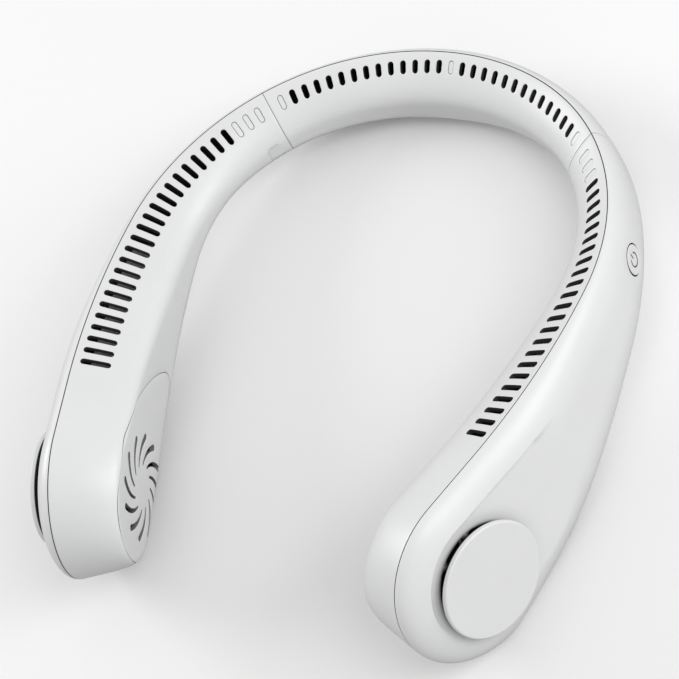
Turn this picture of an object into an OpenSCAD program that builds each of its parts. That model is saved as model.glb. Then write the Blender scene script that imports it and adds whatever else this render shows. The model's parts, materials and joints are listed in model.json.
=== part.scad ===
// Bladeless neck fan: a U-shaped band worn round the neck, with a blower in each end.
// The band is drawn along its crest, the parting line that runs on top from the middle of
// the neck (s = 0) to the fan axis of each pod. The right half is drawn, the left mirrored.

/* [Crest line] */
// Radius of the crest behind the neck
neck_r = 95; // [85:1:105]
// Turn of the crest behind the neck, each side of the middle
neck_turn = 23; // [20:0.5:26]
// Radius of the crest over the shoulders
shoulder_r = 84; // [76:1:92]
// Turn of the crest over the shoulders
shoulder_turn = 68; // [64:0.5:71]
// Radius of the crest along the chest
chest_r = 245; // [220:5:280]
// Turn of the crest along the chest
chest_turn = 15.7; // [13:0.1:17]
// Length of the crest from the middle of the neck to the fan axis
crest_len = 226.75; // [222:0.25:232]
// Length of the crest from the middle of the neck to the arm joint
joint_s = 71.85; // [70:0.05:74]

/* [Body section] */
// Height of the body behind the neck
neck_h = 26; // [25:0.5:29]
// Height that the body flares to at the pods
pod_h = 63.5; // [61:0.5:67]
// Crest length at which the flare starts
flare_start = 94; // [88:1:98]
// Crest length over which the body flares
flare_len = 155; // [148:1:162]
// Depth of the inner half behind the neck
neck_inner_d = 13.4; // [12.8:0.2:15]
// Depth of the inner half at the pods
pod_inner_d = 21.8; // [21.4:0.2:24]
// Depth of the outer half behind the neck
neck_outer_d = 4; // [3.8:0.1:5]
// Depth of the outer half at the pods
pod_outer_d = 7.6; // [7.4:0.1:8.4]
// Lean of the section behind the neck
neck_lean = 5.5; // [4:0.1:7]
// Lean of the section at the pods
pod_lean = 8.2; // [7:0.1:9.5]
// Wall of the shells
wall = 1.8; // [1.6:0.1:2]

/* [Air slots] */
// Pitch of the air slots along the crest
slot_pitch = 4.79; // [4.6:0.01:5]
// Width of an air slot
slot_w = 2; // [1.6:0.1:2.4]
// Length of an air slot behind the neck
neck_slot_len = 4.6; // [4:0.1:5]
// Length of the last air slot on an arm
arm_slot_len = 10.6; // [9:0.1:11]
// Slots in use on each side of the neck piece
neck_slots = 13; // [10:1:13]
// Slots in use on each arm
arm_slots = 23; // [16:1:23]

/* [Intake] */
// Radius of the intake disc
disc_r = 19.25; // [18.25:0.25:20.25]
// Thickness of the intake disc
disc_t = 1.8; // [1.4:0.1:2.2]
// Height of the disc's back above the face of the pod
disc_rise = 1.4; // [1:0.1:1.8]
// Depth of the recess behind the disc at its upper side
recess_depth = 2.4; // [2:0.1:2.6]
// Radius of the swirl of grille slots
swirl_r = 17; // [15.5:0.5:17.5]
// Number of grille slots
swirl_slots = 12; // [9:1:13]

/* [Blower] */
// Radius of the impeller
impeller_r = 17.2; // [16.4:0.1:17.4]
// Height of the impeller
impeller_h = 11.6; // [10:0.2:11.8]
// Number of impeller blades
blades = 22; // [14:1:26]
// Radius of the motor shaft
shaft_r = 1; // [0.8:0.05:1.2]
// Running clearance of the shaft in its bearing
shaft_fit = 0.03; // [0.02:0.01:0.08]
// Radius inside the scroll at its tongue
scroll_r = 18.2; // [18:0.1:18.4]
// Growth of the scroll's radius round the impeller
scroll_growth = 5.4; // [4.6:0.1:5.6]

/* [Power] */
// Radius of the power button
button_r = 5; // [4.6:0.1:5.6]
// Travel of the power button
button_travel = 0.6; // [0.4:0.1:0.8]
// Length of a battery
battery_len = 40; // [34:1:41]
// Width of a battery
battery_w = 14; // [11:0.5:14]
// Thickness of a battery
battery_t = 9; // [6:0.5:10]

/* [Hidden] */

$fn = 48;
shell_colour = [0.93, 0.93, 0.93];
inner_colour = [0.85, 0.86, 0.87];
dark_colour = [0.16, 0.17, 0.18];
steel_colour = [0.72, 0.73, 0.75];
copper_colour = [0.78, 0.45, 0.25];
board_colour = [0.1, 0.35, 0.2];
cell_colour = [0.45, 0.55, 0.66];
over = 0.5; // overrun of every cut
fit = 0.15; // clearance between fixed pieces
seat = 0.05; // clearance between a piece and what it rests on

// Crest line: where each stretch starts, then points and directions along it

function arc_len(r, turn) = r*turn*PI/180;
shoulder_s = arc_len(neck_r, neck_turn);
chest_s = shoulder_s + arc_len(shoulder_r, shoulder_turn);
straight_s = chest_s + arc_len(chest_r, chest_turn);

function turned(l, start, r, turn) = min(turn, max(0, (l - start)/r*180/PI));
function neck_angle(l) = turned(l, 0, neck_r, neck_turn);
function shoulder_angle(l) = neck_angle(l) + turned(l, shoulder_s, shoulder_r, shoulder_turn);
function course(s) =
    let (l = abs(s))
    sign(s)*(shoulder_angle(l) + turned(l, chest_s, chest_r, chest_turn));
function crest(s) =
    let (l = abs(s), a = neck_angle(l), b = shoulder_angle(l), c = abs(course(s)),
         rest = max(0, l - straight_s))
    [sign(s)*(neck_r*sin(a) + shoulder_r*(sin(b) - sin(a)) + chest_r*(sin(c) - sin(b))
              + rest*cos(c)),
     neck_r*(cos(a) - 1) + shoulder_r*(cos(b) - cos(a)) + chest_r*(cos(c) - cos(b))
              - rest*sin(c),
     0];

// Body section: sizes along the crest

lean_start = 60;
lean_len = 140;
inner_start = 54;
inner_len = 135;
outer_start = 115;
outer_len = 80;

function ease(t) = let (u = min(1, max(0, t))) u*u*(3 - 2*u);
function grown(a, b, s, start, len) = a + (b - a)*ease((abs(s) - start)/len);
function body_h(s) = grown(neck_h, pod_h, s, flare_start, flare_len);
function inner_d(s) = grown(neck_inner_d, pod_inner_d, s, inner_start, inner_len);
function outer_d(s) = grown(neck_outer_d, pod_outer_d, s, outer_start, outer_len);
function lean(s) = grown(neck_lean, pod_lean, s, lean_start, lean_len);

function along(s) = [cos(course(s)), -sin(course(s)), 0];
function outward(s) =
    [sin(course(s))*cos(lean(s)), cos(course(s))*cos(lean(s)), sin(lean(s))];
function downward(s) =
    [sin(course(s))*sin(lean(s)), cos(course(s))*sin(lean(s)), -cos(lean(s))];

// Slopes and rounds of the two halves: at the crest, at the nose of the pod, at the keel
neck_crest_slope = 22;
pod_crest_slope = 11.5;
nose_slope = 9;
keel_slope = 22;
neck_crest_round = 16;
pod_crest_round = 9;
nose_round = 4.5;
neck_keel_round = 5;
pod_keel_round = 20;
outer_crest_slope = 12;
outer_keel_slope = 0.5;
neck_outer_round = 9;
pod_outer_round = 16;
inner_lead_share = 0.42;
inner_trail_share = 0.55;
outer_lead_share = 0.5;
outer_trail_share = 0.45;
profile_steps = 5;
cavity_steps = 4;
nose_steps = 14;

function along_mix(a, b, s) = a + (b - a)*abs(s)/crest_len;
function round_mix(top, nose, keel, a) =
    let (low = (1 + sin(a))/2, front = pow(cos(a), 2))
    (top*(1 - low) + keel*low)*(1 - front) + nose*front;
function bezier(p, t) =
    p[0]*pow(1 - t, 3) + p[1]*3*t*pow(1 - t, 2) + p[2]*3*t*t*(1 - t) + p[3]*pow(t, 3);

// Profile from the edge of the body to its face, as [distance in from the edge, depth]
function profile(s, a, half, inset, back, steps) =
    let (inner = half < 0,
         depth = (inner ? inner_d(s) : outer_d(s)) - inset,
         slope = inner
             ? round_mix(along_mix(neck_crest_slope, pod_crest_slope, s), nose_slope, keel_slope, a)
             : round_mix(outer_crest_slope, outer_keel_slope, outer_keel_slope, a),
         round = inner
             ? round_mix(along_mix(neck_crest_round, pod_crest_round, s), nose_round,
                         along_mix(neck_keel_round, pod_keel_round, s), a)
             : along_mix(neck_outer_round, pod_outer_round, s),
         reach = min(body_h(s)/2, round),
         lead = depth*(inner ? inner_lead_share : outer_lead_share),
         trail = (reach - inset)*(inner ? inner_trail_share : outer_trail_share),
         p = [[inset, -back], [inset + lead*sin(slope), lead*cos(slope)],
              [inset + trail, depth], [reach, depth]])
    [for (i = [0:steps]) bezier(p, i/steps)];

// Point of the body at crest length s and angle a round the pod (-90 up, 0 forward,
// 90 down), d in from the edge and h off the parting surface
function body_point(s, a, d, h) =
    let (r = body_h(s)/2)
    crest(s) + downward(s)*(r + (r - d)*sin(a)) + along(s)*(r - d)*cos(a) + outward(s)*h;

// Walk round the edge of the body: along the crest, round the nose in a number of steps
// (0 for the neck piece), back along the keel
function walk(list, nose) = concat(
    [for (s = list) [s, -90]],
    nose > 0 ? [for (i = [1:nose - 1]) [crest_len, 180*i/nose - 90]] : [],
    [for (i = [len(list) - 1:-1:0]) [list[i], 90]]
);

// One half of the body as a closed solid: half is -1 inside the parting surface, 1 outside.
// inset draws it that much smaller, and back carries it past the parting surface.
module half_body(half, list, nose, inset = 0, back = 0, steps = profile_steps) {
    stations = walk(list, nose);
    count = len(stations);
    points = [for (st = stations, p = profile(st[0], st[1], half, inset, back, steps))
        body_point(st[0], st[1], p[0], half*p[1])];
    function id(j, k) = (j % count)*(steps + 1) + k;
    function wound(t, out) = half*out > 0 ? [t[2], t[1], t[0]] : t;
    side = [for (j = [0:count - 1], k = [0:steps - 1])
        each [wound([id(j, k), id(j + 1, k), id(j + 1, k + 1)], 1),
              wound([id(j, k), id(j + 1, k + 1), id(j, k + 1)], 1)]];
    lids = [for (k = [0, steps], j = [0:floor((count - 1)/2) - 1])
        let (near = count - 1 - j, far = near - 1, out = k > 0 ? 1 : -1)
        each [wound([id(j, k), id(j + 1, k), id(near, k)], out),
              if (far != j + 1) wound([id(j + 1, k), id(far, k), id(near, k)], out)]];
    polyhedron(points, concat(side, lids));
}

// Lists of crest lengths at which the body is drawn
function spread(a, b, n) = [for (i = [0:n]) a + (b - a)*i/n];
neck_steps = 14;
arm_steps = 14;
neck_list = spread(-joint_s, joint_s, neck_steps);
neck_cut_list = spread(-joint_s - over, joint_s + over, neck_steps - 1);
arm_list = spread(joint_s, crest_len, arm_steps);
arm_cut_list = spread(joint_s - over, crest_len - wall, arm_steps - 1);

// Solid of one half of a piece, and the room inside its wall or inside a wider inset; the
// room is cut at other stations than the solid, so that no two edges lie on each other
module neck_half(half) {
    half_body(half, neck_list, 0);
}
module neck_room(half) {
    half_body(half, neck_cut_list, 0, wall, over, cavity_steps);
}
module arm_half(half, inset = 0) {
    half_body(half, arm_list, nose_steps, inset);
}
module arm_room(half, inset = wall) {
    half_body(half, arm_cut_list, nose_steps - 1, inset, over, cavity_steps);
}

// Frames for pieces that stand on the body: x along the crest, y down, z outward
module at_body(s, down, out) {
    x = along(s);
    y = downward(s);
    z = outward(s);
    p = crest(s) + y*down + z*out;
    multmatrix([[x[0], y[0], z[0], p[0]], [x[1], y[1], z[1], p[1]], [x[2], y[2], z[2], p[2]]])
        children();
}
pod_r = body_h(crest_len)/2;
module at_pod() {
    at_body(crest_len, pod_r, 0) children();
}
module left() {
    mirror([1, 0, 0]) children();
}

// Plain shapes and lists that several pieces use

function reversed(v) = [for (i = [len(v) - 1:-1:0]) v[i]];
function past_first(v) = [for (i = [1:len(v) - 1]) v[i]];
module round_rect(l, w, r) {
    square([l - 2*r, w], center = true);
    square([l, w - 2*r], center = true);
    for (x = [-1, 1], y = [-1, 1])
        translate([x*(l/2 - r), y*(w/2 - r)])
            circle(r);
}
module spoke(near, far, w) {
    translate([near, -w/2])
        square([far - near, w]);
}
module tube(z, h, outer, inner) {
    translate([0, 0, z])
        linear_extrude(h)
            difference() {
                circle(outer);
                circle(inner);
            }
}
module at_spots(list) {
    for (p = list)
        translate([p[0], p[1], 0])
            children();
}

// Resting place: the band stands on the keels of both pods and of the neck piece

edge_list = concat(
    [for (s = neck_list, p = profile(s, 90, 1, 0, 0, profile_steps)) body_point(s, 90, p[0], p[1])],
    [for (s = neck_list, p = profile(s, -90, 1, 0, 0, profile_steps)) body_point(s, -90, p[0], p[1])]
);
pod_edge_list = [for (st = walk(arm_list, nose_steps), half = [-1, 1],
                      p = profile(st[0], st[1], half, 0, 0, profile_steps))
    body_point(st[0], st[1], p[0], half*p[1])];
function heights(points, tilt) = [for (p = points) p[1]*sin(tilt) + p[2]*cos(tilt)];
function low(points, tilt) = min(heights(points, tilt));
function lowest(points, tilt) =
    let (h = heights(points, tilt))
    points[search(min(h), h)[0]];
function settle(tilt, n) =
    let (a = lowest(edge_list, tilt), b = lowest(pod_edge_list, tilt))
    n == 0 ? tilt : settle(-atan((a[2] - b[2])/(a[1] - b[1])), n - 1);
rest_tilt = settle(-9, 4);
rest_low = min(low(edge_list, rest_tilt), low(pod_edge_list, rest_tilt));
rest_y = [for (p = concat(edge_list, pod_edge_list)) p[1]*cos(rest_tilt) - p[2]*sin(rest_tilt)];
rest_mid = (min(rest_y) + max(rest_y))/2;
module place() {
    translate([0, -rest_mid, -rest_low])
        rotate([rest_tilt, 0, 0])
            children();
}

// Air slots in the shoulder of the inner half

neck_slot_in = 4.5;
arm_slot_in = 7.3;
neck_slot_down = 2.1;
arm_slot_down = 1.7;
neck_slot_slope = 27;
arm_slot_slope = 17;
blind_depth = 0.4;
blind_slots = 3;
first_arm_slot = ceil(joint_s/slot_pitch) + blind_slots;
last_slot_s = (first_arm_slot + arm_slots)*slot_pitch;
slot_fn = 8;
shell_fn = 18;
face_fn = 40;

function slot_mix(a, b, s) = a + (b - a)*min(1, abs(s)/last_slot_s);
function slot_grown(a, b, s) = a + (b - a)*ease((abs(s) - joint_s/2)/(last_slot_s - joint_s/2));

// One slot, straight through the wall or sunk to a depth, square to the shoulder
module slot_cut(s, depth) {
    len = slot_grown(neck_slot_len, arm_slot_len, s);
    at_body(s, slot_mix(neck_slot_down, arm_slot_down, s), -slot_mix(neck_slot_in, arm_slot_in, s))
        rotate([slot_mix(neck_slot_slope, arm_slot_slope, s), 0, 0])
            hull()
                for (side = [-1, 1])
                    translate([0, -wall, side*(len - slot_w)/2])
                        rotate([-90, 0, 0])
                            cylinder(h = wall + depth, d = slot_w, $fn = slot_fn);
}

// Neck piece

module neck_inner_shell() {
    color(shell_colour)
        difference() {
            neck_half(-1);
            neck_room(-1);
            for (i = [-neck_slots:neck_slots])
                if (i != 0)
                    slot_cut(i*slot_pitch, 2*wall);
            for (i = [-neck_slots - 1, 0, neck_slots + 1])
                slot_cut(i*slot_pitch, blind_depth);
        }
}

module neck_outer_shell() {
    color(shell_colour)
        difference() {
            neck_half(1);
            neck_room(1);
        }
}

// Joint of an arm: a sleeve inside both pieces, a screw from the neck side, a plug over it

sleeve_back = 7.35;
sleeve_front = 16.95;
sleeve_t = 1.5;
sleeve_gap = 0.55;
sleeve_list = spread(joint_s - sleeve_back, joint_s + sleeve_front, 3);
screw_past_seam = 6.65;
sleeve_screw_s = joint_s + screw_past_seam;
sleeve_screw_down = 14;
screw_r = 0.9;
screw_hole_r = 1.1;
pilot_r = screw_r + seat;
head_r = 1.7;
low_head_t = 0.5;
plug_t = 0.6;
plug_l = 6;
plug_w = 5;
plug_corner_r = 1.2;
plug_pocket = plug_t + low_head_t + 2*seat;
joint_screw_len = 13;
sleeve_boss_r = 2.2;
joint_face = inner_d(sleeve_screw_s) - 2*seat;

// Whole section of the body at one crest length, as a ring of points
function edge_points(s, a, half, inset) =
    [for (p = profile(s, a, half, inset, 0, cavity_steps)) body_point(s, a, p[0], half*p[1])];
function ring(s, inset) = concat(
    edge_points(s, -90, -1, inset), reversed(edge_points(s, 90, -1, inset)),
    past_first(edge_points(s, 90, 1, inset)), reversed(past_first(edge_points(s, -90, 1, inset)))
);

// Closed tube through rings of points, outer rings first, then the inner ones
module ring_tube(outer, inner) {
    m = len(outer[0]);
    n = len(outer);
    function id(i, j, deep) = (deep*n + i)*m + j % m;
    walls = [for (i = [0:n - 2], j = [0:m - 1], deep = [0, 1])
        let (a = id(i, j, deep), b = id(i + 1, j, deep), c = id(i + 1, j + 1, deep),
             d = id(i, j + 1, deep))
        each deep == 0 ? [[a, b, c], [a, c, d]] : [[a, c, b], [a, d, c]]];
    rims = [for (i = [0, n - 1], j = [0:m - 1])
        let (a = id(i, j, 0), b = id(i, j, 1), c = id(i, j + 1, 1), d = id(i, j + 1, 0))
        each i == 0 ? [[a, c, b], [a, d, c]] : [[a, b, c], [a, c, d]]];
    polyhedron([for (r = concat(outer, inner), q = r) q], concat(walls, rims));
}

module at_joint_screw() {
    at_body(sleeve_screw_s, sleeve_screw_down, -joint_face) children();
}

module joint_sleeve() {
    difference() {
        union() {
            ring_tube([for (s = sleeve_list) ring(s, wall + sleeve_gap)],
                      [for (s = sleeve_list) ring(s, wall + sleeve_gap + sleeve_t)]);
            at_joint_screw()
                translate([0, 0, wall + sleeve_gap + sleeve_t/2])
                    cylinder(h = joint_screw_len - wall, r = sleeve_boss_r);
        }
        at_joint_screw()
            cylinder(h = plug_pocket + joint_screw_len + fit, r = pilot_r);
    }
}

module joint_plug() {
    at_joint_screw()
        linear_extrude(plug_t)
            round_rect(plug_l, plug_w, plug_corner_r);
}

module joint_screw() {
    at_joint_screw()
        translate([0, 0, plug_t + seat]) {
            cylinder(h = low_head_t, r = head_r);
            cylinder(h = low_head_t + joint_screw_len, r = screw_r);
        }
}

module joint_screws() {
    color(steel_colour) {
        joint_screw();
        left() joint_screw();
    }
}

// Pod, outer side: recess behind the intake disc, plate under it, openings for the air

outer_face = outer_d(crest_len);
recess_top = 23.5;
recess_r = 21.2;
recess_flare = 30;
recess_tilt = 2.9;
recess_fall = 0.6;
through = 12;
recess_low = 14;
recess_tail_x = -62;
recess_tail_y = -11;
recess_tail_r = 9;
plate_z = 3.4;
plate_r = 25;
plate_tail_x = -52;
plate_tail_y = -13;
plate_tail_r = 11;
openings = 9;
pins = 3;
opening_r = 1.2;
opening_near = 9.5;
opening_far = 16.3;
opening_spread = 12;
opening_fn = 8;
recess_fn = 40;
pin_ring = 12;
pin_r = 1;
post_r = 1.6;
disc_round = 0.6;

function floor_z(x, y) =
    outer_face - recess_depth + (y + recess_top)*tan(recess_tilt) + x*tan(recess_fall);

module recess_cut() {
    translate([0, 0, floor_z(0, 0)])
        rotate([recess_tilt, -recess_fall, 0])
            hull() {
                for (y = [0, recess_low])
                    translate([0, y, 0])
                        flared(recess_r);
                for (y = [recess_tail_y, recess_low])
                    translate([recess_tail_x, y, 0])
                        flared(recess_tail_r);
            }
}
module flared(r) {
    cylinder(h = through, r1 = r, r2 = r + through*tan(recess_flare), $fn = recess_fn);
}

module recess_plate() {
    translate([0, 0, plate_z])
        hull() {
            cylinder(h = through, r = plate_r, $fn = recess_fn);
            translate([plate_tail_x, plate_tail_y, 0])
                cylinder(h = through, r = plate_tail_r, $fn = recess_fn);
        }
}

module intake_openings() {
    for (i = [0:openings - 1])
        rotate(360*i/openings)
            hull() {
                opening_corner(opening_near, 0);
                opening_corner(opening_far, -opening_spread);
                opening_corner(opening_far, opening_spread);
            }
}
module opening_corner(r, a) {
    rotate(a)
        translate([r, 0, 0])
            cylinder(h = through, r = opening_r, $fn = opening_fn);
}

// The disc's pins stand on every third web between the openings, and so do the spokes of
// the scroll housing behind them
function pin_angle(i) = 360*i/pins + 180/openings;
function pin_place(i) = pin_ring*[cos(pin_angle(i)), sin(pin_angle(i))];
pin_places = [for (i = [0:pins - 1]) pin_place(i)];

module intake_disc() {
    rotate_extrude($fn = 96)
        disc_section();
    for (p = pin_places)
        translate(p) {
            translate([0, 0, floor_z(p[0], p[1]) + 2*seat])
                cylinder(h = outer_face + disc_rise - floor_z(p[0], p[1]), r = post_r);
            translate([0, 0, plate_z + seat])
                cylinder(h = outer_face + disc_rise - plate_z, r = pin_r);
        }
}
module disc_section() {
    translate([0, outer_face + disc_rise]) {
        square([disc_r - disc_round, disc_t]);
        square([disc_r, disc_t - disc_round]);
        translate([disc_r - disc_round, disc_t - disc_round])
            circle(disc_round);
    }
}

// Screws of a pod: two hold the scroll on the outer shell, one holds the shells together

ear_front = [19.8, 11.45];
ear_rear = [-20, 12];
case_boss = [-36, -5.1];
ear_r = 1.9;
case_boss_r = 2.8;
ear_boss_r = 2.5;
screw_seat_z = -12.6;
screw_len = 17.2;
head_t = 1.2;
tip_gap = 0.2;
head_gap = 0.25;

module long_screw() {
    translate([0, 0, screw_seat_z]) {
        cylinder(h = screw_len, r = screw_r);
        translate([0, 0, -head_t])
            cylinder(h = head_t, r = head_r);
    }
}
module pod_screws() {
    at_spots([ear_front, ear_rear, case_boss]) long_screw();
}

// Cell and the ribs that carry it

cell_s = 175;
cell_down = 32.2;
cell_turn = 15;
cell_out = 2.1;
cell_corner_r = 2;
cell_cap = 3;
rib_t = 1.6;
rib_share = 0.3;
module at_cell() {
    at_body(cell_s, cell_down, cell_out)
        rotate(cell_turn)
            children();
}
module battery() {
    at_cell()
        translate([0, 0, -battery_t/2])
            rotate([0, 90, 0]) {
                translate([0, 0, -battery_len/2 + cell_cap])
                    linear_extrude(battery_len - cell_cap)
                        round_rect(battery_t, battery_w, cell_corner_r);
                translate([0, 0, -battery_len/2])
                    linear_extrude(2*cell_cap)
                        square([battery_t - 2*rib_t, battery_w - 2*rib_t], center = true);
            }
}
module cell_ribs() {
    at_cell()
        for (side = [-1, 1])
            translate([side*rib_share*battery_len - rib_t/2, -battery_w/2, seat])
                cube([rib_t, battery_w, through]);
}

// Power button and the board behind it, in the right arm

button_s = 116;
button_down = 14.6;
button_gap = 0.2;
button_rise = 0.1;
flange_w = 1;
flange_t = 0.8;
flange_drop = 0.6;
stem_r = 1.5;
board_l = 28;
board_w = 13;
board_t = 1.2;
board_shift = 3.2;
board_top = -3.6;
board_down = 15.2;
switch_w = 4.6;
switch_t = 1.6;
plunger_r = 1.3;
plunger_h = 0.4;
pad_wall = 1.2;
pad_h = 3.8;
pad_inner_r = 4;
post_inset = 2;
button_face = outer_d(button_s) - button_rise;
flange_top = outer_d(button_s) - wall - flange_drop;
plunger_top = board_top + switch_t + plunger_h;

module at_button() {
    at_body(button_s, button_down, 0) children();
}
module power_button() {
    color(shell_colour)
        at_button() {
            translate([0, 0, flange_top - flange_t/2])
                cylinder(h = button_face - flange_top + flange_t/2, r = button_r);
            translate([0, 0, flange_top - flange_t])
                cylinder(h = flange_t, r = button_r + button_gap + flange_w);
            translate([0, 0, plunger_top + button_travel + seat])
                cylinder(h = flange_top - plunger_top - button_travel - seat, r = stem_r);
        }
}
module button_spring_pad() {
    color(dark_colour)
        at_button()
            translate([0, 0, board_top])
                difference() {
                    cylinder(h = pad_h, r = pad_inner_r + pad_wall);
                    translate([0, 0, -over])
                        cylinder(h = pad_h + 2*over, r = pad_inner_r);
                }
}
module tact_switch() {
    color(dark_colour)
        at_button()
            translate([0, 0, board_top]) {
                translate([-switch_w/2, -switch_w/2, 0])
                    cube([switch_w, switch_w, switch_t]);
                cylinder(h = switch_t + plunger_h, r = plunger_r);
            }
}
module at_board() {
    at_body(button_s, board_down, board_top)
        translate([board_shift, 0, 0])
            children();
}
module control_board() {
    color(board_colour)
        at_board()
            translate([0, 0, -board_t])
                linear_extrude(board_t)
                    round_rect(board_l, board_w, plug_corner_r);
}
module board_posts() {
    at_board()
        for (x = [-1, 1])
            translate([x*(board_l/2 - post_inset), 0, seat])
                cylinder(h = through, r = post_r);
}

// Charging socket in the keel of the right arm

usb_shift = 10.5;
usb_l = 7.3;
usb_w = 9;
usb_t = 3.2;
usb_shell = 0.3;
usb_recess = 2.6;
usb_gap = 0.3;
tongue_w = 6.6;
tongue_t = 0.7;
tongue_share = 0.75;
usb_down = body_h(button_s + usb_shift) - usb_recess;
module at_usb() {
    at_body(button_s, usb_down, board_top - board_t - usb_t/2)
        translate([usb_shift, 0, 0])
            rotate([90, 0, 0])
                children();
}
module usb_socket() {
    color(steel_colour)
        at_usb() {
            difference() {
                linear_extrude(usb_l)
                    round_rect(usb_w, usb_t, usb_t/2 - usb_shell);
                translate([0, 0, -over])
                    linear_extrude(usb_l - usb_shell)
                        round_rect(usb_w - 2*usb_shell, usb_t - 2*usb_shell, usb_t/2 - 2*usb_shell);
            }
            translate([0, 0, usb_l*(1 - tongue_share)])
                linear_extrude(usb_l*tongue_share)
                    square([tongue_w, tongue_t], center = true);
        }
}
module usb_port_cut() {
    at_usb()
        translate([0, 0, -through])
            linear_extrude(2*through)
                round_rect(usb_w + 2*usb_gap, usb_t + 2*usb_gap, usb_t/2);
}

// Outer shell of an arm with its pod

module arm_outer_shell(button) {
    $fn = shell_fn;
    color(shell_colour)
        difference() {
            union() {
                difference() {
                    arm_half(1);
                    arm_room(1);
                }
                intersection() {
                    arm_half(1, wall/2);
                    union() {
                        at_pod() {
                            recess_plate();
                            translate([0, 0, plate_z])
                                at_spots([ear_front, ear_rear])
                                    cylinder(h = through, r = ear_boss_r);
                            translate([0, 0, fit])
                                at_spots([case_boss])
                                    cylinder(h = through, r = case_boss_r);
                        }
                        cell_ribs();
                        if (button)
                            board_posts();
                    }
                }
            }
            at_pod() {
                recess_cut();
                intake_openings();
                at_spots(pin_places)
                    cylinder(h = through, r = pin_r + fit);
                at_spots([ear_front, ear_rear, case_boss])
                    cylinder(h = screw_seat_z + screw_len + tip_gap, r = pilot_r);
            }
            if (button)
                at_button()
                    cylinder(h = through, r = button_r + button_gap, $fn = face_fn);
        }
}

// Pod, neck side: grille panel in a pocket of the inner shell

inner_face = inner_d(crest_len);
panel_fn = 32;
panel_low_z = -8;
panel_front = [5.5, 0];
panel_front_r = 20.5;
panel_top = [-4, -1.6];
panel_top_r = 21.5;
panel_mid = [-18, 0];
panel_mid_r = 18;
panel_tail = [-40, -2];
panel_tail_r = 6;
panel_gap = 0.17;
pocket_floor = 1.2;
pocket_rim = 1.6;
grille_hole_r = 18.6;
notch_x = 8.9;
notch_y = -21.6;
notch_w = 3;
notch_t = 0.7;
swirl_near = 7.7;
swirl_turn = -35;
swirl_steps = 3;
swirl_thin_r = 0.4;
swirl_wide_r = 1.1;
swirl_fn = 8;

// Outline of the panel as a prism through the inner half, grown by a width
module panel_prism(grow) {
    hull() {
        panel_corner(panel_front, panel_front_r + grow);
        panel_corner(panel_top, panel_top_r + grow);
        panel_corner(panel_mid, panel_mid_r + grow);
        panel_corner(panel_tail, panel_tail_r + grow);
    }
}
module panel_corner(p, r) {
    translate([p[0], p[1], panel_low_z - 2*inner_face])
        cylinder(h = 2*inner_face, r = r, $fn = panel_fn);
}
module panel_notch() {
    translate([notch_x - notch_w/2, notch_y - notch_t/2, -inner_face - over])
        cube([notch_w, 2*notch_t, wall]);
}

function swirl_radius(t) = swirl_near + (swirl_r - swirl_near)*t;
module swirl_dot(i, t) {
    rotate(360*i/swirl_slots + swirl_turn*t)
        translate([swirl_radius(t), 0, -inner_face - over])
            cylinder(h = through, r = swirl_thin_r + (swirl_wide_r - swirl_thin_r)*t,
                     $fn = swirl_fn);
}
module swirl_cut() {
    for (i = [0:swirl_slots - 1], k = [1:swirl_steps])
        hull() {
            swirl_dot(i, (k - 1)/swirl_steps);
            swirl_dot(i, k/swirl_steps);
        }
}

module grille_panel() {
    difference() {
        intersection() {
            arm_half(-1);
            at_pod() panel_prism(-panel_gap);
        }
        arm_room(-1, wall - seat);
        at_pod() {
            swirl_cut();
            panel_notch();
        }
    }
}

// Inner shell of an arm with its pod

module case_boss_tube() {
    at_spots([case_boss])
        translate([0, 0, -inner_face])
            cylinder(h = inner_face - fit, r = case_boss_r);
}
module arm_inner_shell(socket) {
    $fn = shell_fn;
    color(shell_colour)
        difference() {
            union() {
                difference() {
                    arm_half(-1);
                    arm_room(-1);
                }
                intersection() {
                    arm_half(-1, wall/2);
                    union() {
                        at_pod() case_boss_tube();
                        difference() {
                            at_pod() panel_prism(pocket_rim);
                            arm_room(-1, wall + pocket_floor);
                        }
                    }
                }
            }
            difference() {
                at_pod() panel_prism(0);
                arm_room(-1);
            }
            at_pod() {
                translate([0, 0, -2*inner_face])
                    cylinder(h = 2*inner_face - fit, r = grille_hole_r, $fn = face_fn);
                at_spots([case_boss]) {
                    translate([0, 0, -2*inner_face])
                        cylinder(h = 2*inner_face + screw_seat_z, r = head_r + head_gap);
                    translate([0, 0, screw_seat_z - over])
                        cylinder(h = inner_face, r = screw_hole_r);
                }
            }
            at_joint_screw() {
                translate([0, 0, -over])
                    linear_extrude(plug_pocket + over)
                        round_rect(plug_l + 2*fit, plug_w + 2*fit, plug_corner_r + fit);
                cylinder(h = 2*wall, r = screw_hole_r);
            }
            for (i = [0:blind_slots - 1])
                slot_cut((first_arm_slot - i)*slot_pitch, blind_depth);
            for (i = [1:arm_slots])
                slot_cut((first_arm_slot + i)*slot_pitch, 2*wall);
            if (socket)
                usb_port_cut();
        }
}

// Scroll housing round the impeller, in the frame of the pod

scroll_t = 1.1;
scroll_turn = 285;
tongue_angle = 195;
scroll_steps = 24;
scroll_power = 1.8;
outlet_x = -23;
outlet_low = -8.6;
back_z = 2.2;
front_z = -11.6;
cover_t = 1;
eye_r = 17;
cover_eye_r = 14.5;
hub_r = 9;
spoke_w = 3;
tube_r = 3.2;
tube_z = -4.3;
ear_web = 4.5;
ear_web_w = 2.4;

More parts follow.
